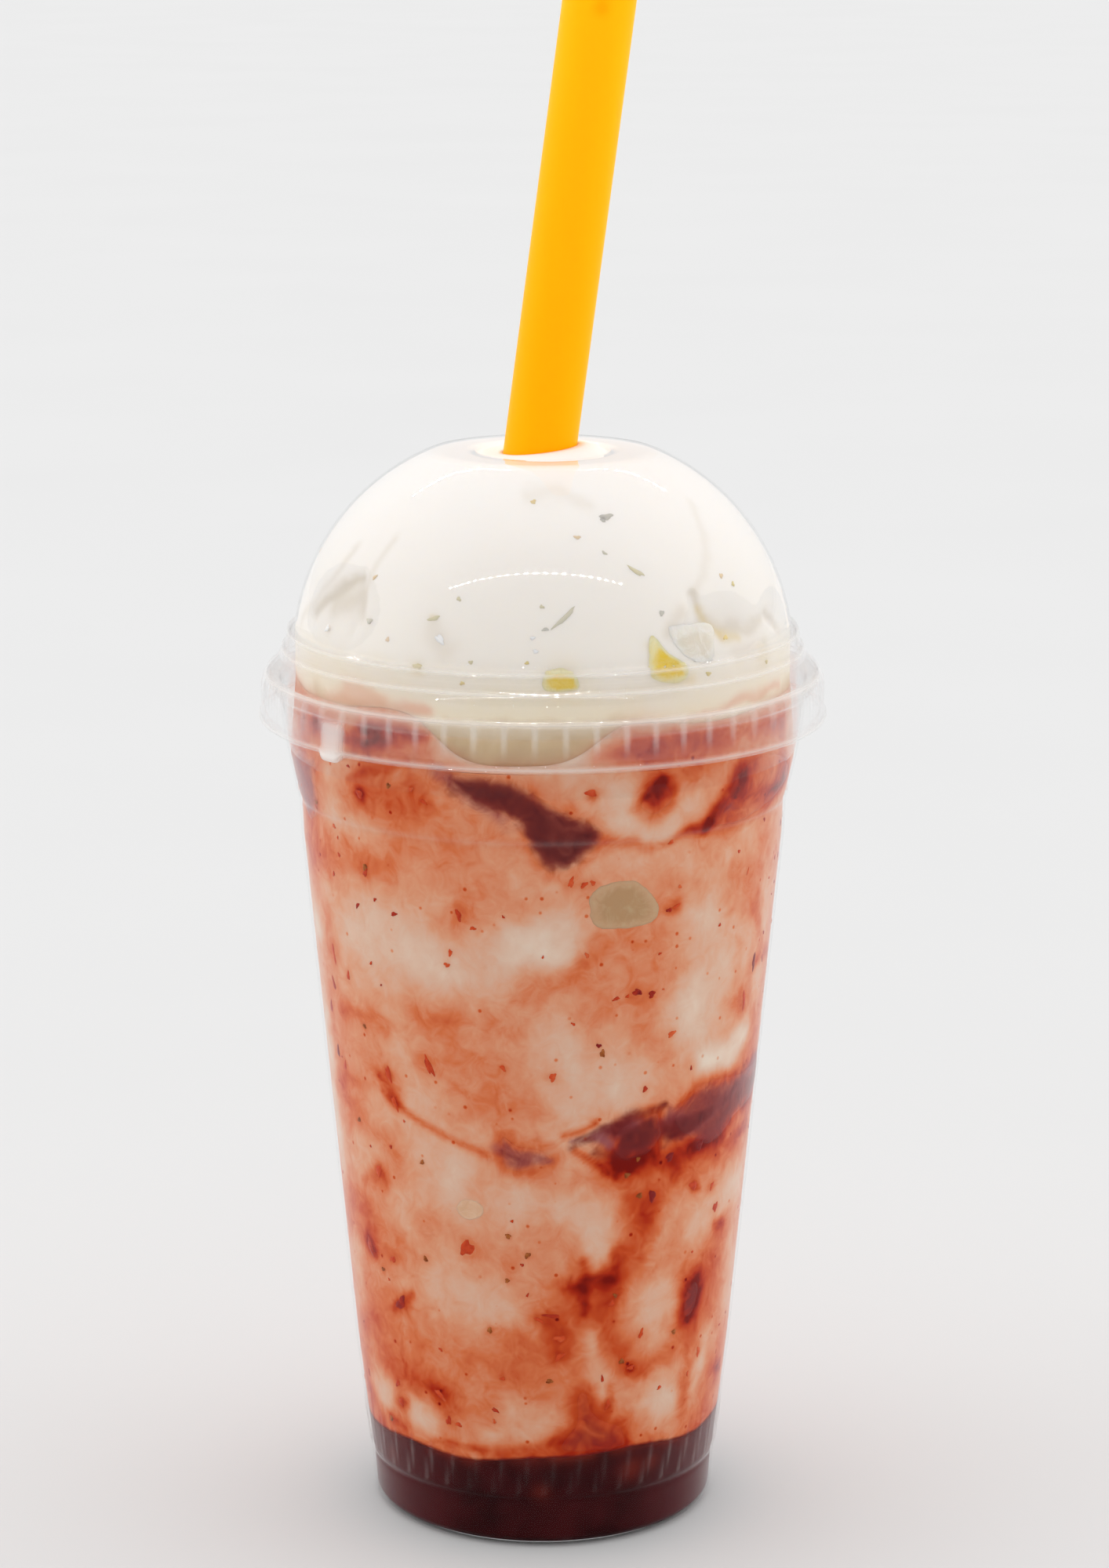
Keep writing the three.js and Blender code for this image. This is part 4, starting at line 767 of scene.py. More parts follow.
def food_colour(tree):
    """Nodes that turn the amounts sauce, juice and flesh into a colour, with wisps and
    specks finer than the mesh. Returns the colour and the noise that the relief follows."""
    place = add(tree, "ShaderNodeTexCoord").outputs["Object"]
    wisps = add(tree, "ShaderNodeTexNoise", {
        "Vector": place, "Scale": 1 / (3.5 * MM), "Detail": 6.0, "Roughness": 0.62, "Distortion": 1.0})
    centred = add(tree, "ShaderNodeMath", {0: wisps.outputs["Fac"], 1: 0.5}, operation="SUBTRACT")
    sauce = add(tree, "ShaderNodeAttribute", attribute_name="sauce").outputs["Fac"]
    ruffle = add(tree, "ShaderNodeMath", {0: sauce, 1: 0.5, 2: 0.12}, operation="MULTIPLY_ADD")
    mixed = add(tree, "ShaderNodeMath", {0: centred.outputs[0], 1: ruffle.outputs[0], 2: sauce},
                operation="MULTIPLY_ADD")
    # specks of pulp, up to about 0.9 mm across, in about a quarter of the 2.6 mm cells
    cells = add(tree, "ShaderNodeTexVoronoi", {"Vector": place, "Scale": 1 / (2.6 * MM)})
    chance = add(tree, "ShaderNodeSeparateColor", {0: cells.outputs["Color"]})
    chosen = add(tree, "ShaderNodeMapRange", {
        "Value": chance.outputs[0], "From Min": 0.72, "From Max": 0.8, "To Max": 0.26})
    dot = add(tree, "ShaderNodeMapRange", {
        "Value": cells.outputs["Distance"], "From Min": 0.08, "From Max": 0.17, "To Min": 1.0,
        "To Max": 0.0})
    specks = add(tree, "ShaderNodeMath", {0: dot.outputs[0], 1: chosen.outputs[0], 2: mixed.outputs[0]},
                 operation="MULTIPLY_ADD")
    colour = add(tree, "ShaderNodeValToRGB", {"Fac": specks.outputs[0]}, stops=SAUCE_COLOURS).outputs[0]
    for layer, spread, stain_and_shade, low, high in STAIN_COLOURS:
        amount = add(tree, "ShaderNodeAttribute", attribute_name=layer).outputs["Fac"]
        patchy = add(tree, "ShaderNodeMath", {0: centred.outputs[0], 1: spread, 2: amount},
                     operation="MULTIPLY_ADD")
        cover = add(tree, "ShaderNodeMapRange", {
            "Value": patchy.outputs[0], "From Min": low, "From Max": high, "To Max": 0.92},
            interpolation_type="SMOOTHSTEP")
        stained_and_shaded = add(tree, "ShaderNodeMix", {0: cover.outputs[0], 6: colour, 7: linear(stain_and_shade)},
                      data_type="RGBA")
        colour = stained_and_shaded.outputs[2]
    return colour, wisps.outputs["Fac"]


# The body's side, then its lower and upper faces, which close on the straw's room. Its columns are
# closer together on the side that shows most.
columns = np.concatenate([
    np.linspace(-FRONT_REACH, FRONT_REACH, FRONT_COLUMNS, endpoint=False),
    np.linspace(FRONT_REACH, 360 - FRONT_REACH, BACK_COLUMNS, endpoint=False)])
column_count = len(columns)
low_edge = syrup_height(columns, SYRUP_TOP_RADIUS)
high_edge = white_height(columns, COLUMN_RADIUS)
share = np.linspace(0, 1, MARBLE_ROWS)[:, None]
side_height = low_edge + (high_edge - low_edge) * share
side_radius = contents_radius(side_height)
under = np.array([0, 0.4, 0.7, 0.88])[:, None] * side_radius[:1]
over = np.array([0.88, 0.7, 0.45])[:, None] * side_radius[-1:]
room_height = np.linspace(WHITE_LEVEL, straw_foot - 0.4, 8)[:, None]
room = around_axis(np.full((len(room_height), column_count), STRAW_ROOM), columns, room_height)
room[..., 0] += straw_axis(room_height)
room_end = room[-1:] * (0, 0, 1) + (straw_axis(straw_foot), 0, 0)
marble_points = np.vstack([
    around_axis(under, columns, syrup_height(columns, under)),
    around_axis(side_radius, columns, side_height),
    around_axis(over, columns, white_height(columns, over)), room, room_end])
marble_angle = np.degrees(np.arctan2(marble_points[..., 0], -marble_points[..., 1]))
marble_radius = np.maximum(np.hypot(marble_points[..., 0], marble_points[..., 1]), 1)
amounts = marbling(marble_angle, marble_points[..., 2], marble_radius)

SAUCE_COLOURS = [
    (0.0, "#e8d6c4"), (0.2, "#e0baa2"), (0.38, "#e09d7a"), (0.54, "#da784c"), (0.7, "#ca5024"),
    (0.85, "#ae2a10"), (1.0, "#7a1008"),
]
# Each stain: its amount, how patchy noise makes it, its colour, and where it begins and is full.
STAIN_COLOURS = [
    ("juice", 0.6, "#96545c", 0.1, 1.0), ("flesh", 0.7, "#78201e", 0.06, 0.85),
    ("flesh", 1.0, "#4c0e16", 0.6, 1.3),
]
marbled_food, tree = new_material("frozen_milk_with_strawberry_sauce")
colour, relief = food_colour(tree)
grains = add(tree, "ShaderNodeBump", {"Height": relief, "Distance": 0.1 * MM, "Strength": 0.5})
milk = add(tree, "ShaderNodeBsdfPrincipled", {
    "Base Color": colour, "Roughness": 0.55, "Specular IOR Level": 0.02,
    "Subsurface Weight": 0.2, "Subsurface Radius": (1.0, 0.5, 0.35), "Subsurface Scale": 0.0015,
    "Normal": grains.outputs[0]})
add(tree, "ShaderNodeOutputMaterial", {"Surface": milk.outputs[0]})


marbled_milk = piece_from(
    "marbled_milk", with_poles(marble_points), pole_body_faces(len(marble_points), column_count),
    marbled_food, {name: with_poles(values) for name, values in zip(("sauce", "juice", "flesh"), amounts)})
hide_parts("marbled_ice_milk")


# White ice milk. It is the same soft frozen milk without sauce, pressed against the dome in folds
# and pushed up through the straw hole. It hides small shreds of jelly. Low down it is painted darker and
# browner, painted shade under the lid's flange and skirt, with some sauce beneath.
WHITE_COLUMNS, STRAIGHT_ROWS, DOME_ROWS = 440, 40, 130
DOME_INSET, UNDER_PLATE = 0.5, 193.45
# The lower edge laps over the marbled milk and wavers, but is calm where it dips at the front.
EDGE_LAP, LAP_PROUD, EDGE_WAVER, CALM_WIDTH = 0.5, 0.02, 0.8, 26
HUMP_HEIGHT, HUMP_SLOPE = 194.35, 0.1
MILK_HOLLOWS = [(-58, 170, 11, 5, 1.0), (47, 168, 9, 4, 0.9), (72, 166, 8, 4, 0.9), (150, 172, 12, 6, 2),
                (-140, 168, 11, 6, 2)]
# Creases between folds: how deep they are as a share of CREASE_DEPTH, and their path.
CREASE_DEPTH, LUMP_RISE = 0.5, 0.4
CREASES = [
    (1, [(-70, 167, 1.4), (-60, 172, 1.6), (-52, 175.5, 1.2), (-48, 171, 1.4), (-50, 166, 1.2)]),
    (1, [(39, 173.6, 1), (40.5, 169.7, 1.3), (46, 167.3, 1.5), (56, 166.6, 1.4), (64.4, 167.7, 1.2),
        (73, 164.5, 1.2)]), (0.8, [(118, 182, 1.4), (140, 174, 1.8), (165, 172, 1.8), (180, 166, 1.4)]),
    (0.8, [(-165, 178, 1.2), (-150, 171, 1.8), (-128, 169, 1.8), (-110, 163, 1.4)]),
]
# Where painted shade darkens the folds' creases and hollows to a greyish cream, where fruit has stained
# the milk yellow, and where sauce has seeped in, which it also does along the lower edge, up to
# EDGE_SEEP. The first yellow stroke follows the right-hand crease, and there it adds painted shade to the
# stain.
EDGE_SEEP = 0.8
# Painted shade in the creases and hollows of the folds, as strokes.
PAINTED_SHADE_STROKES = [
    (.75, [(-69, 168, 1.4), (-60, 172.3, 1.7), (-52.5, 175.3, 1.1)]),
    (.6, [(-60, 170, 2.2), (-53, 171.5, 2.4)]), (.5, [(-50, 173, 1.2), (-48, 169, 1)]),
    (.35, [(-78, 165.3, 1.4), (-71, 169.6, 1.1), (-64.5, 174.4, 1.1), (-61, 179.4, .9)]),
    (.3, [(-46.5, 182, .8), (-49.5, 174.6, 1)]),
    (.55, [(39, 173.6, 1), (40, 169.7, 1.3), (45.6, 167.3, 1.3), (55.8, 166.4, 1.2), (64.4, 167.4, 1)]),
    (.45, [(67.5, 168.3, .9), (73.3, 164.5, 1.2)]), (.22, [(57, 187, 1), (50, 180, 1), (40, 174, 1)]),
    (.4, [(34, 171.5, 1.4), (30, 168, 1.2)]),
    (.25, [(-6, 190, 1.2), (8, 190.5, 1.5), (15, 188.5, 1.2)]), (.3, [(62, 163, 1.5), (50, 163, 1.5)]),
    (.3, [(-26, 169, 2), (-22, 166, 2)]),
    (.5, [(120, 181, 1.4), (140, 173, 2), (165, 171, 2), (180, 165, 1.6)]),
    (.5, [(-165, 177, 1.4), (-150, 170, 2), (-128, 168, 2)]),
]
YELLOW_STROKES = [
    (.55, [(40, 171, .8), (42, 168.5, .9), (46.7, 166.4, 1.1), (52, 165.5, .8)]),
    (.6, [(46.7, 166, .8)]), (.4, [(-29, 162.7, 1.3)]), (.45, [(-26.2, 170.8, .7)]),
    (.45, [(25, 166, 1), (27, 161.5, 1.8), (35, 160, 1.4)]), (.35, [(4, 161, 3.2)]),
    (.3, [(60, 161, 2)]), (.45, [(158, 165, 2.4)]), (.4, [(-132, 163, 2)]), (.3, [(110, 170, 1.4)]),
]
SEEP_STROKES = [
    (.6, [(-68, 152.6, 1.6), (-52, 154.6, 1.8), (-38, 155, 1.6), (-27, 155, 1.2)]),
    (.35, [(-50, 157, 1.5), (-38, 156.6, 1.2)]),
    (.5, [(30, 152.5, .8), (50, 154.6, 1), (70, 155, 1.2)]),
    (.6, [(100, 155, 1.4), (130, 155.5, 1.6), (150, 155, 1)]),
    (.6, [(-150, 154, 1.6), (-120, 154, 1.4)]),
]
columns = np.arange(WHITE_COLUMNS) * 360 / WHITE_COLUMNS
edge_points = around_axis(COLUMN_RADIUS + 0 * columns, columns, WHITE_LEVEL)
outside_dip = 1 - np.exp(-(wrapped(columns) - DIP_ANGLE) ** 4 / CALM_WIDTH ** 4)
wavering = EDGE_WAVER * cloud_noise(edge_points, 8, 111, 4) * outside_dip
white_edge = white_height(columns, COLUMN_RADIUS) - EDGE_LAP + wavering
straight = np.linspace(0, 1, STRAIGHT_ROWS)[:, None] * (DOME_BOTTOM - white_edge) + white_edge
arc = np.array(dome_arc(DOME_INSET, UNDER_PLATE, DOME_ROWS))
side_height = np.vstack([straight, np.repeat(arc[1:, 1:], WHITE_COLUMNS, 1)])
touching = np.where(side_height < DOME_BOTTOM, COLUMN_RADIUS, dome_radius(side_height, DOME_INSET))
below = contents_radius(side_height)
side_radius = np.where(side_height < WHITE_LEVEL, np.minimum(below, touching), touching)
side_radius = side_radius + LAP_PROUD * (1 - eased(side_height - white_edge, 1, 3))
touching = touching + LAP_PROUD
side_angle = np.broadcast_to(columns, side_height.shape)
drawn_in = sum(
    deep * np.exp(-(wrapped(side_angle - a) / wide) ** 2 - ((side_height - z) / tall) ** 2)
    for a, z, wide, tall, deep in MILK_HOLLOWS)
creases = strokes(side_angle, side_height, side_radius, CREASES)
points = around_axis(side_radius, side_angle, side_height)
lumps = cloud_noise(points, 11, 83)
uneven = LUMP_RISE * lumps * eased(drawn_in + creases, 0.15, 1.2)
side_radius = side_radius - drawn_in - CREASE_DEPTH * creases + uneven
side_radius = np.minimum(side_radius, touching)
plate = np.stack([np.linspace(19.6, 11.9, 7)[1:], np.full(6, UNDER_PLATE)], 1)
hump = np.array([(11.4, 193.6), (10.8, 193.85), (10, 194.05), (9.2, 194.2), (8, HUMP_HEIGHT)])
top = np.vstack([plate, hump])
top_radius = np.repeat(top[:, :1], WHITE_COLUMNS, 1)
slope = HUMP_SLOPE * np.sin(np.radians(columns)) * (top_radius * (1 - eased(top_radius, 8, 11.6)))
top_height = top[:, 1:] + slope
room_share = np.linspace(0, 1, 8)[:, None]
room_height = (HUMP_HEIGHT + slope[-1]) * (1 - room_share) + WHITE_LEVEL * room_share
room = around_axis(np.full((len(room_share), WHITE_COLUMNS), STRAW_ROOM), columns, room_height)
room[..., 0] += straw_axis(room_height)
under = np.array([0.45, 0.7, 0.88])[:, None] * side_radius[:1]
white_points = np.vstack([
    around_axis(side_radius, side_angle, side_height),
    around_axis(top_radius, columns, top_height), room,
    around_axis(under, columns, white_height(columns, under))])
points = around_axis(side_radius, side_angle, side_height)
shift_a, shift_z = (cloud_noise(points, 4, seed) for seed in (87, 89))
bent = (side_angle + np.degrees(shift_a / side_radius), side_height + shift_z, side_radius)
edge_seep = EDGE_SEEP * np.exp(-(side_height - white_edge)) * eased(cloud_noise(points, 9, 97), -1.2, 0.1)
on_side = {
    "painted_shade": strokes(*bent, PAINTED_SHADE_STROKES), "yellow": strokes(*bent, YELLOW_STROKES),
    "seep": np.maximum(strokes(*bent, SEEP_STROKES), edge_seep),
}
white_layers = {}
for layer, values in on_side.items():
    white_layers[layer] = np.zeros(white_points.shape[:2])
    white_layers[layer][:len(values)] = values

# Colours up the white milk by height, from about 148 mm: the browns and tans low down are painted shade
# under the lid's flange and skirt, with some sauce beneath, and it is cream white above.
WHITE_AND_PAINTED_SHADE_COLOURS = [
    (0.0, "#a28054"), (0.08, "#b89468"), (0.16, "#d4b88c"), (0.25, "#f8ebd2"), (0.42, "#f9f1e8"),
    (1.0, "#f3efeb"),
]
WHITE_STAINS_AND_SHADE = (("painted_shade", "#cdbfa8", 0.75), ("yellow", "#e0c67c", 0.75), ("seep", "#e07a44", 0.8))
white_food, tree = new_material("white_frozen_milk")
place = add(tree, "ShaderNodeTexCoord")
soft = add(tree, "ShaderNodeTexNoise", {
    "Vector": place.outputs["Object"], "Scale": 1 / (14 * MM), "Detail": 4.0, "Roughness": 0.55,
    "Distortion": 0.5})
apart = add(tree, "ShaderNodeSeparateXYZ", {0: place.outputs["Object"]})
# the colour follows height, with painted shade darkening it towards the lower edge
level = add(tree, "ShaderNodeMath", {0: soft.outputs["Fac"], 1: 0.012, 2: apart.outputs["Z"]},
            operation="MULTIPLY_ADD")
share = add(tree, "ShaderNodeMapRange", {"Value": level.outputs[0], "From Min": 0.148, "From Max": 0.2})
colour = add(tree, "ShaderNodeValToRGB", {"Fac": share.outputs[0]}, stops=WHITE_AND_PAINTED_SHADE_COLOURS).outputs[0]
# painted shade in the folds, and stains of fruit and sauce, mixed over the colour
for layer, stain_and_shade, most in WHITE_STAINS_AND_SHADE:
    amount = add(tree, "ShaderNodeAttribute", attribute_name=layer)
    cover = add(tree, "ShaderNodeMapRange", {"Value": amount.outputs["Fac"], "To Max": most})
    stained_and_shaded = add(tree, "ShaderNodeMix", {0: cover.outputs[0], 6: colour, 7: linear(stain_and_shade)},
                  data_type="RGBA")
    colour = stained_and_shaded.outputs[2]
grains = add(tree, "ShaderNodeBump", {"Height": soft.outputs["Fac"], "Distance": 0.6 * MM, "Strength": 0.35})
milk = add(tree, "ShaderNodeBsdfPrincipled", {
    "Base Color": colour, "Roughness": 0.5, "Specular IOR Level": 0.0,
    "Subsurface Weight": 0.4, "Subsurface Radius": (1.0, 0.9, 0.75), "Subsurface Scale": 0.002,
    "Normal": grains.outputs[0]})
add(tree, "ShaderNodeOutputMaterial", {"Surface": milk.outputs[0]})
white_milk = piece_from(
    "white_milk", white_points.reshape(-1, 3), [ring_faces(len(white_points), WHITE_COLUMNS, loop=True)],
    white_food, white_layers)
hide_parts("white_ice_milk")


# Syrup. Thick dark fruit syrup lies in the foot of the cup, down to its lowest ring, with a few
# bits of red fruit sunk in it.
SYRUP_PROFILE = [
    (0, 3.1), (24.8, 3.1), (27.3, 0.5), (29.5, 0.5), (30.7, 1.7), (31.15, 8.4), (30.95, 9),
    (31.55, 9.9),
]
SYRUP_COLUMNS = 264
# The syrup stops this far below the milk, so that their faces don't lie in one another.
SYRUP_GAP = 0.02
lower = rounded(SYRUP_PROFILE, 0.5, longest=1.0)
radius, angle, height = rings_of(lower, SYRUP_COLUMNS)
columns = angle[0]
edge_height = syrup_height(columns, SYRUP_TOP_RADIUS) - SYRUP_GAP
rise = np.linspace(0, 1, 12)[1:, None]
wall_foot = SYRUP_PROFILE[-1][1]
wall_height = wall_foot + (edge_height - wall_foot) * rise
top_radius = np.array([0.88, 0.7, 0.4, 0])[:, None] * contents_radius(edge_height)
radius = np.vstack([radius, contents_radius(wall_height), top_radius])
height = np.vstack([height, wall_height, syrup_height(columns, top_radius) - SYRUP_GAP])
angle = np.broadcast_to(columns, radius.shape)
SYRUP_SPOTS = [
    (0.55, [(30, 13.8, 2.4)]), (0.45, [(38, 14.3, 1.8)]), (0.35, [(-0.5, 10.8, 1.8)]),
    (0.3, [(-60, 12, 2)]), (0.4, [(120, 12.5, 2)]), (0.4, [(200, 11, 1.6)]),
]
spots = strokes(angle, height, np.maximum(radius, 1), SYRUP_SPOTS)
syrup_points = around_axis(radius, angle, height)
# just under its surface the syrup is thinned by the milk and looks redder
patches = eased(cloud_noise(syrup_points, 5, 121), -0.6, 0.6)
thinned = 0.8 * np.exp(-np.maximum(edge_height - height, 0)) * patches
spots = np.maximum(spots, thinned * (radius > 25))
# painted light: the syrup is paler and pinker towards its sides, from 20 to 70 degrees round from the front,
# where the wall is seen at a slant
painted_side_light_share = eased(np.abs(wrapped(angle)), 20, 70)

syrup_food, tree = new_material("dark_fruit_syrup")
place = add(tree, "ShaderNodeTexCoord")
drift = add(tree, "ShaderNodeTexNoise", {
    "Vector": place.outputs["Object"], "Scale": 1 / (8 * MM), "Detail": 4.0})
spot = add(tree, "ShaderNodeAttribute", attribute_name="spot")
mottled = add(tree, "ShaderNodeValToRGB", {"Fac": drift.outputs["Fac"]},
              stops=[(0.3, "#260709"), (0.75, "#421013")])
# painted light, paler and pinker towards the sides
side = add(tree, "ShaderNodeAttribute", attribute_name="painted_side_light_share")
with_painted_side_light = add(tree, "ShaderNodeMix", {
    0: side.outputs["Fac"], 6: mottled.outputs[0], 7: linear("#5a2428")}, data_type="RGBA")
redder = add(tree, "ShaderNodeMix", {
    0: spot.outputs["Fac"], 6: with_painted_side_light.outputs[2], 7: linear("#78261a")}, data_type="RGBA")
liquid = add(tree, "ShaderNodeBsdfPrincipled", {
    "Base Color": redder.outputs[2], "Roughness": 0.3, "Specular IOR Level": 0.04})
add(tree, "ShaderNodeOutputMaterial", {"Surface": liquid.outputs[0]})
syrup = turned_piece("syrup", radius, angle, height, syrup_food, {"spot": spots, "painted_side_light_share": painted_side_light_share})
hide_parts("syrup_layer")


# Fruit and jelly pieces at the wall. Chunks of cooked strawberry, pale jelly and yellow preserved
# fruit are pressed against the plastic: their outer faces follow the wall, and they narrow inwards.
# The strawberry's colour runs on into the stained milk round it.
CLEAR_FINISHES = {
    "pale_jelly": ("#b8926a", "#c8a07c", "#c2a884"), "clear_jelly": ("#dcae8c", "#e2b494", "#e8c4a6"),
    "yellow_fruit": ("#efcd48", "#f4e8bc", "#f2dc8c"), "grey_jelly": ("#e6dccc", "#f0e8dd", "#faf5ee"),
}
PIECE_FINISH = {
    "jelly_piece_1": "pale_jelly", "jelly_piece_2": "clear_jelly", "fruit_cube_1": "yellow_fruit",
    "fruit_cube_2": "yellow_fruit", "jelly_cube": "grey_jelly",
}
PIECE_COLUMNS, PIECE_NARROWING, PIECE_PROUD, IN_DOME_PROUD, PIECE_UNEVEN = 120, 0.7, 0.1, 0.02, 0.09
# Rows of points over a piece: how far out each lies as a share of the outline, how far the front rows
# and the edge drop back in mm, and how deep the inner rows lie as a share of the piece's depth.
PIECE_REACH = np.array([
    0, 0.15, 0.3, 0.45, 0.6, 0.72, 0.82, 0.9, 0.96, 1.0, 1.0, 0.92, 0.8, PIECE_NARROWING, 0.4, 0])
EDGE_DROP = np.array([0, 0, 0, 0, 0, 0, 0, 0, 0.05, 0.12, 0.5])
BACK_SHARE = np.array([0.4, 0.8, 1, 1, 1])


def white_surface(height):
    """Radius of the white milk's outer face at a height."""
    return np.where(height > DOME_BOTTOM, dome_radius(height, DOME_INSET), COLUMN_RADIUS)


def jelly_material(name, deep, pale, streak):
    """Wet jelly or preserved fruit: deeper inside, paler towards its rim, with fibres of a third
    colour."""
    material, tree = new_material(name)
    place = add(tree, "ShaderNodeTexCoord")
    fibres = add(tree, "ShaderNodeTexNoise", {
        "Vector": place.outputs["Object"], "Scale": 1 / (3 * MM), "Detail": 6.0, "Roughness": 0.65,
        "Distortion": 1.5})
    rim = add(tree, "ShaderNodeAttribute", attribute_name="rim")
    ragged = add(tree, "ShaderNodeMath", {0: fibres.outputs["Fac"], 1: 0.7, 2: rim.outputs["Fac"]},
                 operation="MULTIPLY_ADD")
    to_rim = add(tree, "ShaderNodeMapRange", {"Value": ragged.outputs[0], "From Min": 0.85, "From Max": 1.3},
                 interpolation_type="SMOOTHSTEP")
    paler = add(tree, "ShaderNodeMix", {0: to_rim.outputs[0], 6: linear(deep), 7: linear(pale)},
                data_type="RGBA")
    in_streak = add(tree, "ShaderNodeMapRange", {
        "Value": fibres.outputs["Fac"], "From Min": 0.5, "From Max": 0.68, "To Max": 0.6})
    streaked = add(tree, "ShaderNodeMix", {
        0: in_streak.outputs[0], 6: paler.outputs[2], 7: linear(streak)}, data_type="RGBA")
    relief = add(tree, "ShaderNodeBump", {
        "Height": fibres.outputs["Fac"], "Distance": 0.3 * MM, "Strength": 0.5})
    flesh = add(tree, "ShaderNodeBsdfPrincipled", {
        "Base Color": streaked.outputs[2], "Roughness": 0.35, "Specular IOR Level": 0.15,
        "Subsurface Weight": 0.4, "Subsurface Radius": (1.0, 0.7, 0.4), "Subsurface Scale": 0.002,
        "Normal": relief.outputs[0]})
    add(tree, "ShaderNodeOutputMaterial", {"Surface": flesh.outputs[0]})
    return material


cooked_strawberry, tree = new_material("cooked_strawberry")
colour, relief = food_colour(tree)
fibres = add(tree, "ShaderNodeBump", {"Height": relief, "Distance": 0.3 * MM, "Strength": 0.5})
flesh = add(tree, "ShaderNodeBsdfPrincipled", {
    "Base Color": colour, "Roughness": 0.4, "Specular IOR Level": 0.1, "Subsurface Weight": 0.15,
    "Subsurface Radius": (1.0, 0.4, 0.3), "Subsurface Scale": 0.0015, "Normal": fibres.outputs[0]})
add(tree, "ShaderNodeOutputMaterial", {"Surface": flesh.outputs[0]})
finishes = {name: jelly_material(name, *looks) for name, looks in CLEAR_FINISHES.items()}

for seed, (name, (middle_angle, middle_height, depth, outline)) in enumerate(PIECES.items()):
    in_dome = middle_height > WHITE_LEVEL
    curve = smooth_outline(outline, PIECE_COLUMNS)
    ragged = cloud_noise(np.column_stack([curve, np.full(len(curve), seed * 50.0)]), 2.0, 91, 3)
    curve = curve * (1 + PIECE_UNEVEN * ragged[:, None])
    # the rows run out over the front face, round its edge and back over the narrower inner face
    drop = np.concatenate([EDGE_DROP, depth * BACK_SHARE])[:, None]
    across, up = (PIECE_REACH[:, None] * curve[None, :, i] for i in (0, 1))
    height = middle_height + up
    surface = white_surface(height) if in_dome else contents_radius(height)
    angle = middle_angle + np.degrees(across / surface[0, 0])
    points = around_axis(surface + (IN_DOME_PROUD if in_dome else PIECE_PROUD) - drop, angle, height)
    faces = pole_body_faces(len(PIECE_REACH), PIECE_COLUMNS)
    # an outline that runs anticlockwise as seen from outside needs its faces turned over
    if np.sum(curve[:, 0] * np.roll(curve[:, 1], -1) - curve[:, 1] * np.roll(curve[:, 0], -1)) > 0:
        faces = [f[:, ::-1] for f in faces]
    finish = PIECE_FINISH.get(name)
    if finish:
        # a cube's upper edge is veiled by milk, so it is as pale as its rim
        veiled = 0.5 * eased(up, 0, curve[:, 1].max()) if in_dome else 0 * up
        layers = {"rim": with_poles(PIECE_REACH[:, None] + veiled)}
    else:
        values = marbling(angle, height, surface)
        layers = {layer: with_poles(v) for layer, v in zip(("sauce", "juice", "flesh"), values)}
    material = finishes.get(finish, cooked_strawberry)
    piece = piece_from(name + "_flesh", with_poles(points), faces, material, layers)
    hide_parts(name)


# Pulp bits and seeds. Scraps of strawberry flesh, 1 to 4 mm long, and brown seeds of about 1 mm lie
# in the marbled milk against the wall. Those at the front lie where the real cup shows them, and
# the rest are strewn by a seeded draw.
CHIP_RINGS, CHIP_SIDES = np.array([0, 0.35, 0.7, 0.92, 1.0, 0.7, 0]), 16
CHIP_OUT = np.array([1.0, 0.95, 0.75, 0.4, 0, -0.6, -0.9])
CHIP_WAVES = ((2, 0.12), (3, 0.2), (5, 0.12))
STREWN_FRONT, STREWN_BACK, STREWN_SEEDS = 75, 130, 45
BIT_PROUD, SEED_PROUD, SEED_STRETCH = 0.16, 0.2, 1.3


def chips(places, surface, proud, seed):
    """Flat lumps pressed against the wall, as points and faces. A lump's outline is an ellipse whose
    radius is uneven by three sine waves of random phase, and it bulges towards the wall. Each place
    is angle, height, length, width and tilt. Also gives the number of points of one lump."""
    places = np.array(places, float)[:, :, None, None]
    draw = np.random.default_rng(seed)
    angle, height, length, width, tilt = (places[:, i] for i in range(5))
    turn = np.arange(CHIP_SIDES) * 2 * np.pi / CHIP_SIDES
    phase = draw.uniform(0, 2 * np.pi, (3, len(places), 1, 1))
    uneven = 1 + sum(share * np.sin(waves * turn + phase[i]) for i, (waves, share) in enumerate(CHIP_WAVES))
    ring = CHIP_RINGS[None, :, None] * uneven
    x, y = ring * np.cos(turn) * length / 2, ring * np.sin(turn) * width / 2
    lean = np.radians(tilt)
    across, up = x * np.cos(lean) - y * np.sin(lean), x * np.sin(lean) + y * np.cos(lean)
    base = surface(height + up)
    reach = base + proud - (1 - CHIP_OUT[None, :, None]) * np.minimum(width, 2) * 0.25
    points = around_axis(reach, angle + np.degrees(across / base), height + up)
    each = np.stack([with_poles(p) for p in points])
    shift = (np.arange(len(each)) * each.shape[1])[:, None, None]
    one_lump = pole_body_faces(len(CHIP_RINGS), CHIP_SIDES)
    faces = [(f[None, :, ::-1] + shift).reshape(-1, f.shape[1]) for f in one_lump]
    return each.reshape(-1, 3), faces, each.shape[1]


def strewn_places(draw, counts, angles, heights, widths, stretches, tones):
    """Rows of angle, height, length, width, tilt and tone, each drawn evenly from its range. angles
    and widths hold one range for each of counts. A length is its width times its stretch."""
    total = sum(counts)
    angle = np.concatenate([draw.uniform(*ends, n) for ends, n in zip(angles, counts)])
    height = draw.uniform(*heights, total)
    width = np.concatenate([draw.uniform(*ends, n) for ends, n in zip(widths, counts)])
    length = width * draw.uniform(*stretches, total)
    tilt = draw.uniform(0, 180, total)
    return list(zip(angle, height, length, width, tilt, draw.uniform(*tones, total)))


draw = np.random.default_rng(12)
strewn = strewn_places(
    draw, (STREWN_FRONT, STREWN_BACK), ((-90, 90), (90, 270)), (20, 144), ((0.35, 0.8), (0.4, 2.2)),
    (1, 2.2), (0.15, 0.6))
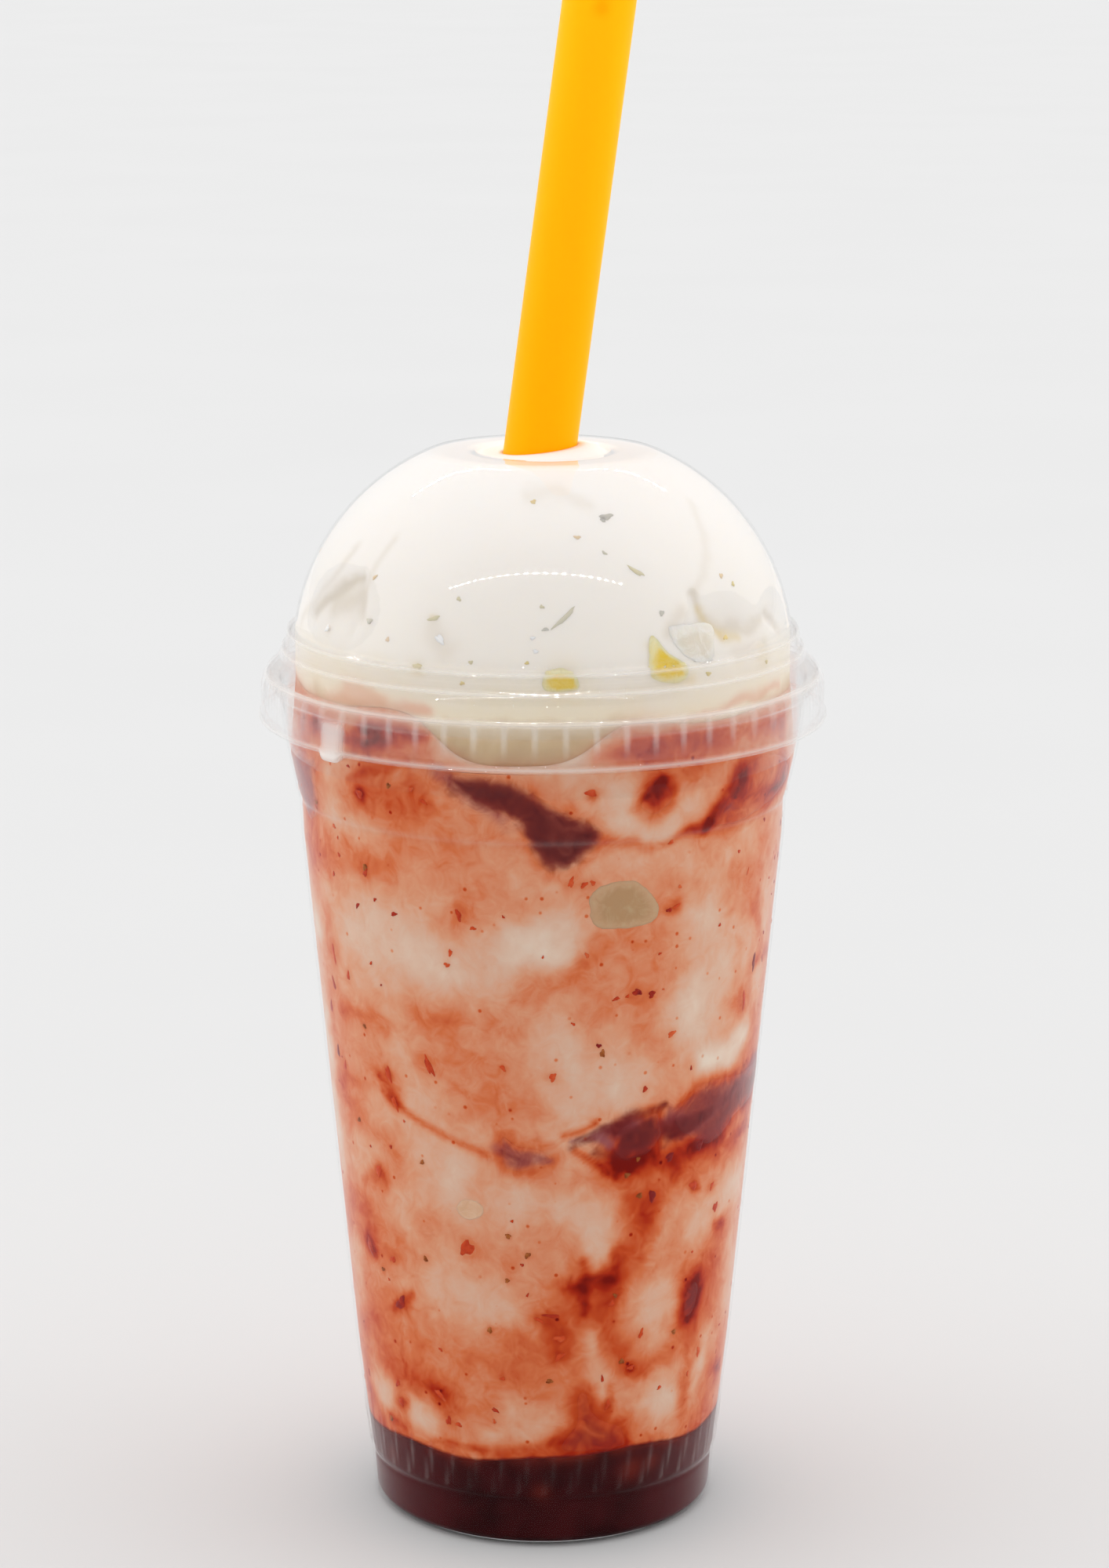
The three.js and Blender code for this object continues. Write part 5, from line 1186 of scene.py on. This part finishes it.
# a scrap on a dark piece of fruit wouldn't show as one
scrap_angle, scrap_height = np.array([scrap[:2] for scrap in strewn]).T
on_fruit = stains(scrap_angle, scrap_height, contents_radius(scrap_height))[0] > 0.1
bits = PULP_BITS + [scrap for scrap, dark in zip(strewn, on_fruit) if not dark]
pulp, tree = new_material("strawberry_pulp")
place = add(tree, "ShaderNodeTexCoord")
grain = add(tree, "ShaderNodeTexNoise", {
    "Vector": place.outputs["Object"], "Scale": 1 / (1.2 * MM), "Detail": 4.0})
tone = add(tree, "ShaderNodeAttribute", attribute_name="tone")
shade = add(tree, "ShaderNodeMath", {0: grain.outputs["Fac"], 1: 0.5, 2: tone.outputs["Fac"]},
            operation="MULTIPLY_ADD")
ramp = add(tree, "ShaderNodeValToRGB", {"Fac": shade.outputs[0]},
           stops=[(0.35, "#e07040"), (0.6, "#d04a20"), (0.85, "#a82814"), (1.0, "#861c1a")])
wet = add(tree, "ShaderNodeBsdfPrincipled", {
    "Base Color": ramp.outputs[0], "Roughness": 0.4, "Specular IOR Level": 0.1, "Subsurface Weight": 0.2,
    "Subsurface Radius": (1.0, 0.4, 0.2), "Subsurface Scale": 0.001})
add(tree, "ShaderNodeOutputMaterial", {"Surface": wet.outputs[0]})
points, faces, per_chip = chips([b[:5] for b in bits], contents_radius, BIT_PROUD, 5)
pulp_bits = piece_from("pulp_bits", points, faces, pulp, {"tone": np.repeat([b[5] for b in bits], per_chip)})

seed_places = SEEDS + list(zip(draw.uniform(90, 270, STREWN_SEEDS), draw.uniform(20, 144, STREWN_SEEDS)))
seed_widths = draw.uniform(0.65, 1.1, len(seed_places))
seed_tilts = draw.uniform(0, 180, len(seed_places))
seed_rows = [
    (a, z, width * SEED_STRETCH, width, tilt)
    for (a, z), width, tilt in zip(seed_places, seed_widths, seed_tilts)]
seed_skin, tree = new_material("strawberry_seed")
place = add(tree, "ShaderNodeTexCoord")
grain = add(tree, "ShaderNodeTexNoise", {
    "Vector": place.outputs["Object"], "Scale": 1 / (1.0 * MM), "Detail": 3.0})
ramp = add(tree, "ShaderNodeValToRGB", {"Fac": grain.outputs["Fac"]},
           stops=[(0.35, "#8a4218"), (0.7, "#b86c34")])
shell = add(tree, "ShaderNodeBsdfPrincipled", {
    "Base Color": ramp.outputs[0], "Roughness": 0.5, "Specular IOR Level": 0.1})
add(tree, "ShaderNodeOutputMaterial", {"Surface": shell.outputs[0]})
points, faces, _ = chips(seed_rows, contents_radius, SEED_PROUD, 6)
seeds = piece_from("strawberry_seeds", points, faces, seed_skin)


# Shreds in the white milk. Slivers of pale jelly and specks of yellow and orange fruit, at most 6 mm
# long, show through the dome. Those at the front lie where the real cup shows them.
# Each shred: angle, height, length, width, tilt and tone: grey, tan, yellow, orange or white.
SHREDS = [
    (20.6, 186.8, 3.4, 1, 10, .05), (19.2, 186.4, 1.2, .9, 0, .05), (24.6, 178.4, 4, .8, -32, .3),
    (5, 171.6, 6, 1.1, 40, .2), (.6, 169.8, 1.2, .7, 10, .12), (29.1, 171.5, 1.3, 1, 0, .1),
    (51, 175.9, 1.2, .9, 0, .7), (54.4, 174.2, 1, .8, 30, .5), (-37.9, 166.5, 1, .8, 0, .75),
    (-44.6, 169, 1.3, 1, 20, .15), (-26.2, 170.8, 2.6, .9, 20, .28), (-28.9, 162.7, 2, 1.2, 0, .35),
    (46.7, 166, 1.1, .9, 0, .55), (-20.6, 174.2, 1, .7, -20, .3), (-.2, 173.4, .9, .6, 0, .3),
    (-1.6, 166.2, 1.1, .8, 0, 1), (-2.3, 168.4, 1, .6, 0, 1), (-16.2, 164.1, 1, .6, 0, .3),
    (-24, 167.5, 3, 1.6, -30, 1), (-3.5, 164.3, .8, .6, 0, .55), (-47, 176, 1, .7, 40, .7),
    (-3.3, 189.2, 1, .8, 0, .6), (10, 184, 1.4, .5, 0, .7), (-18, 160.5, 1, .8, 0, .55),
    (17, 181.5, 1, .5, -40, .2), (40, 160.5, 1.4, .9, 0, .5), (62, 160, 1.2, .9, 0, .5),
    (-60, 166, 1.6, .9, 30, 1),
]
STREWN_SHREDS, SHRED_PROUD = 46, 0.1
strewn = strewn_places(draw, (STREWN_SHREDS,), ((90, 270),), (158, 188), ((0.5, 1.2),), (1, 4), (0, 1))
shred_jelly, tree = new_material("jelly_and_fruit_shreds")
tone = add(tree, "ShaderNodeAttribute", attribute_name="tone")
place = add(tree, "ShaderNodeTexCoord")
grain = add(tree, "ShaderNodeTexNoise", {
    "Vector": place.outputs["Object"], "Scale": 1 / (1.5 * MM), "Detail": 3.0})
shade = add(tree, "ShaderNodeMath", {0: grain.outputs["Fac"], 1: 0.12, 2: tone.outputs["Fac"]},
            operation="MULTIPLY_ADD")
ramp = add(tree, "ShaderNodeValToRGB", {"Fac": shade.outputs[0]}, stops=[
    (0.05, "#bab4aa"), (0.2, "#d6d0c4"), (0.35, "#ddd2b2"), (0.6, "#e8d090"), (0.8, "#f0cfae"),
    (1.0, "#fdfaf6")])
wet = add(tree, "ShaderNodeBsdfPrincipled", {
    "Base Color": ramp.outputs[0], "Roughness": 0.35, "Specular IOR Level": 0.15, "Subsurface Weight": 0.4,
    "Subsurface Radius": (1.0, 0.9, 0.7), "Subsurface Scale": 0.001})
add(tree, "ShaderNodeOutputMaterial", {"Surface": wet.outputs[0]})


shreds = SHREDS + strewn
points, faces, per_chip = chips([s[:5] for s in shreds], white_surface, SHRED_PROUD, 7)
milk_shreds = piece_from(
    "milk_shreds", points, faces, shred_jelly, {"tone": np.repeat([s[5] for s in shreds], per_chip)})


# Floor, light box and lamps. The cup stands on a pale matt table in a light box with pale walls,
# open and dim towards the camera. Two straight rows of small lamps hang across it, one in front of
# the cup and one behind, which draw the two dotted arcs on the dome.
FLOOR_RADIUS, FLOOR_CORNERS = 12, 64
# Brightness of the sides and of the front, for light that falls on things and for what they mirror,
# and of the backdrop that the camera sees.
LIT_SIDES, LIT_FRONT, MIRRORED_SIDES, MIRRORED_FRONT, BACKDROP = 1.9, 1.0, 0.95, 0.06, 0.84
# Each row: x and y of its middle, its length in metres and its power in watts.
LAMP_ROWS = {"front_lamps": (-0.04, -0.36, 0.88, 1.5), "back_lamps": (-0.01, 0.41, 0.74, 1.2)}
LAMP_HEIGHT, LAMP_DEPTH, LAMP_COUNT, LAMP_AIM_HEIGHT = 0.64, 0.004, 22, 0.15

floor_paint, tree = new_material("pale_matt_table")
place = add(tree, "ShaderNodeTexCoord")
faint = add(tree, "ShaderNodeTexNoise", {"Vector": place.outputs["Object"], "Scale": 6.0, "Detail": 3.0})
tone = add(tree, "ShaderNodeValToRGB", {"Fac": faint.outputs["Fac"]},
           stops=[(0.0, "#d0d0d0"), (1.0, "#d3d3d3")])
matt = add(tree, "ShaderNodeBsdfDiffuse", {"Color": tone.outputs[0]})
add(tree, "ShaderNodeOutputMaterial", {"Surface": matt.outputs[0]})
floor_mesh = bpy.data.meshes.new("floor")
corners = np.radians(np.arange(FLOOR_CORNERS) * 360 / FLOOR_CORNERS)
floor_points = np.stack([FLOOR_RADIUS * np.cos(corners), FLOOR_RADIUS * np.sin(corners), 0 * corners], -1)
floor_mesh.from_pydata(floor_points.tolist(), [], [range(FLOOR_CORNERS)])
floor_mesh.materials.append(floor_paint)
floor = bpy.data.objects.new("floor", floor_mesh)
bpy.context.scene.collection.objects.link(floor)
floor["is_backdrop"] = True

world = bpy.data.worlds.new("light_box")
bpy.context.scene.world = world
world.use_nodes = True
tree = world.node_tree
tree.nodes.clear()
place = add(tree, "ShaderNodeTexCoord")
towards_front = add(tree, "ShaderNodeVectorMath", {0: place.outputs["Generated"], 1: (0, -1, 0.1)},
                    operation="DOT_PRODUCT")
opening = add(tree, "ShaderNodeMapRange", {
    "Value": towards_front.outputs["Value"], "From Min": 0.17, "From Max": 0.68},
    interpolation_type="SMOOTHSTEP")
lit = add(tree, "ShaderNodeMix", {0: opening.outputs[0], 2: LIT_SIDES, 3: LIT_FRONT})
mirrored = add(tree, "ShaderNodeMix", {0: opening.outputs[0], 2: MIRRORED_SIDES, 3: MIRRORED_FRONT})
ray = add(tree, "ShaderNodeLightPath")
light = add(tree, "ShaderNodeMix", {
    0: ray.outputs["Is Glossy Ray"], 2: lit.outputs[0], 3: mirrored.outputs[0]})
seen = add(tree, "ShaderNodeMix", {0: ray.outputs["Is Camera Ray"], 2: light.outputs[0], 3: BACKDROP})
glow = add(tree, "ShaderNodeBackground", {"Strength": seen.outputs[0]})
add(tree, "ShaderNodeOutputWorld", {"Surface": glow.outputs[0]})

for name, (x, y, length, power) in LAMP_ROWS.items():
    lamps = bpy.data.lights.new(name, "AREA")
    lamps.shape, lamps.size, lamps.size_y, lamps.energy = "RECTANGLE", length, LAMP_DEPTH, power
    lamps.use_nodes = True
    tree = lamps.node_tree
    shine = tree.nodes["Emission"]
    spot = add(tree, "ShaderNodeNewGeometry")
    apart = add(tree, "ShaderNodeSeparateXYZ", {0: spot.outputs["Parametric"]})
    turn = add(tree, "ShaderNodeMath", {0: apart.outputs["X"], 1: 2 * np.pi * LAMP_COUNT},
               operation="MULTIPLY")
    wave = add(tree, "ShaderNodeMath", {0: turn.outputs[0]}, operation="SINE")
    bright = add(tree, "ShaderNodeMapRange", {
        "Value": wave.outputs[0], "From Min": 0.1, "From Max": 0.8, "To Max": 2.6})
    tree.links.new(bright.outputs[0], shine.inputs["Strength"])
    row_of_lamps = bpy.data.objects.new(name, lamps)
    row_of_lamps.location = (x, y, LAMP_HEIGHT)
    row_of_lamps.rotation_euler = (np.arctan2(-y, LAMP_HEIGHT - LAMP_AIM_HEIGHT), 0, 0)
    row_of_lamps.visible_diffuse = False
    bpy.context.scene.collection.objects.link(row_of_lamps)

low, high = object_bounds()
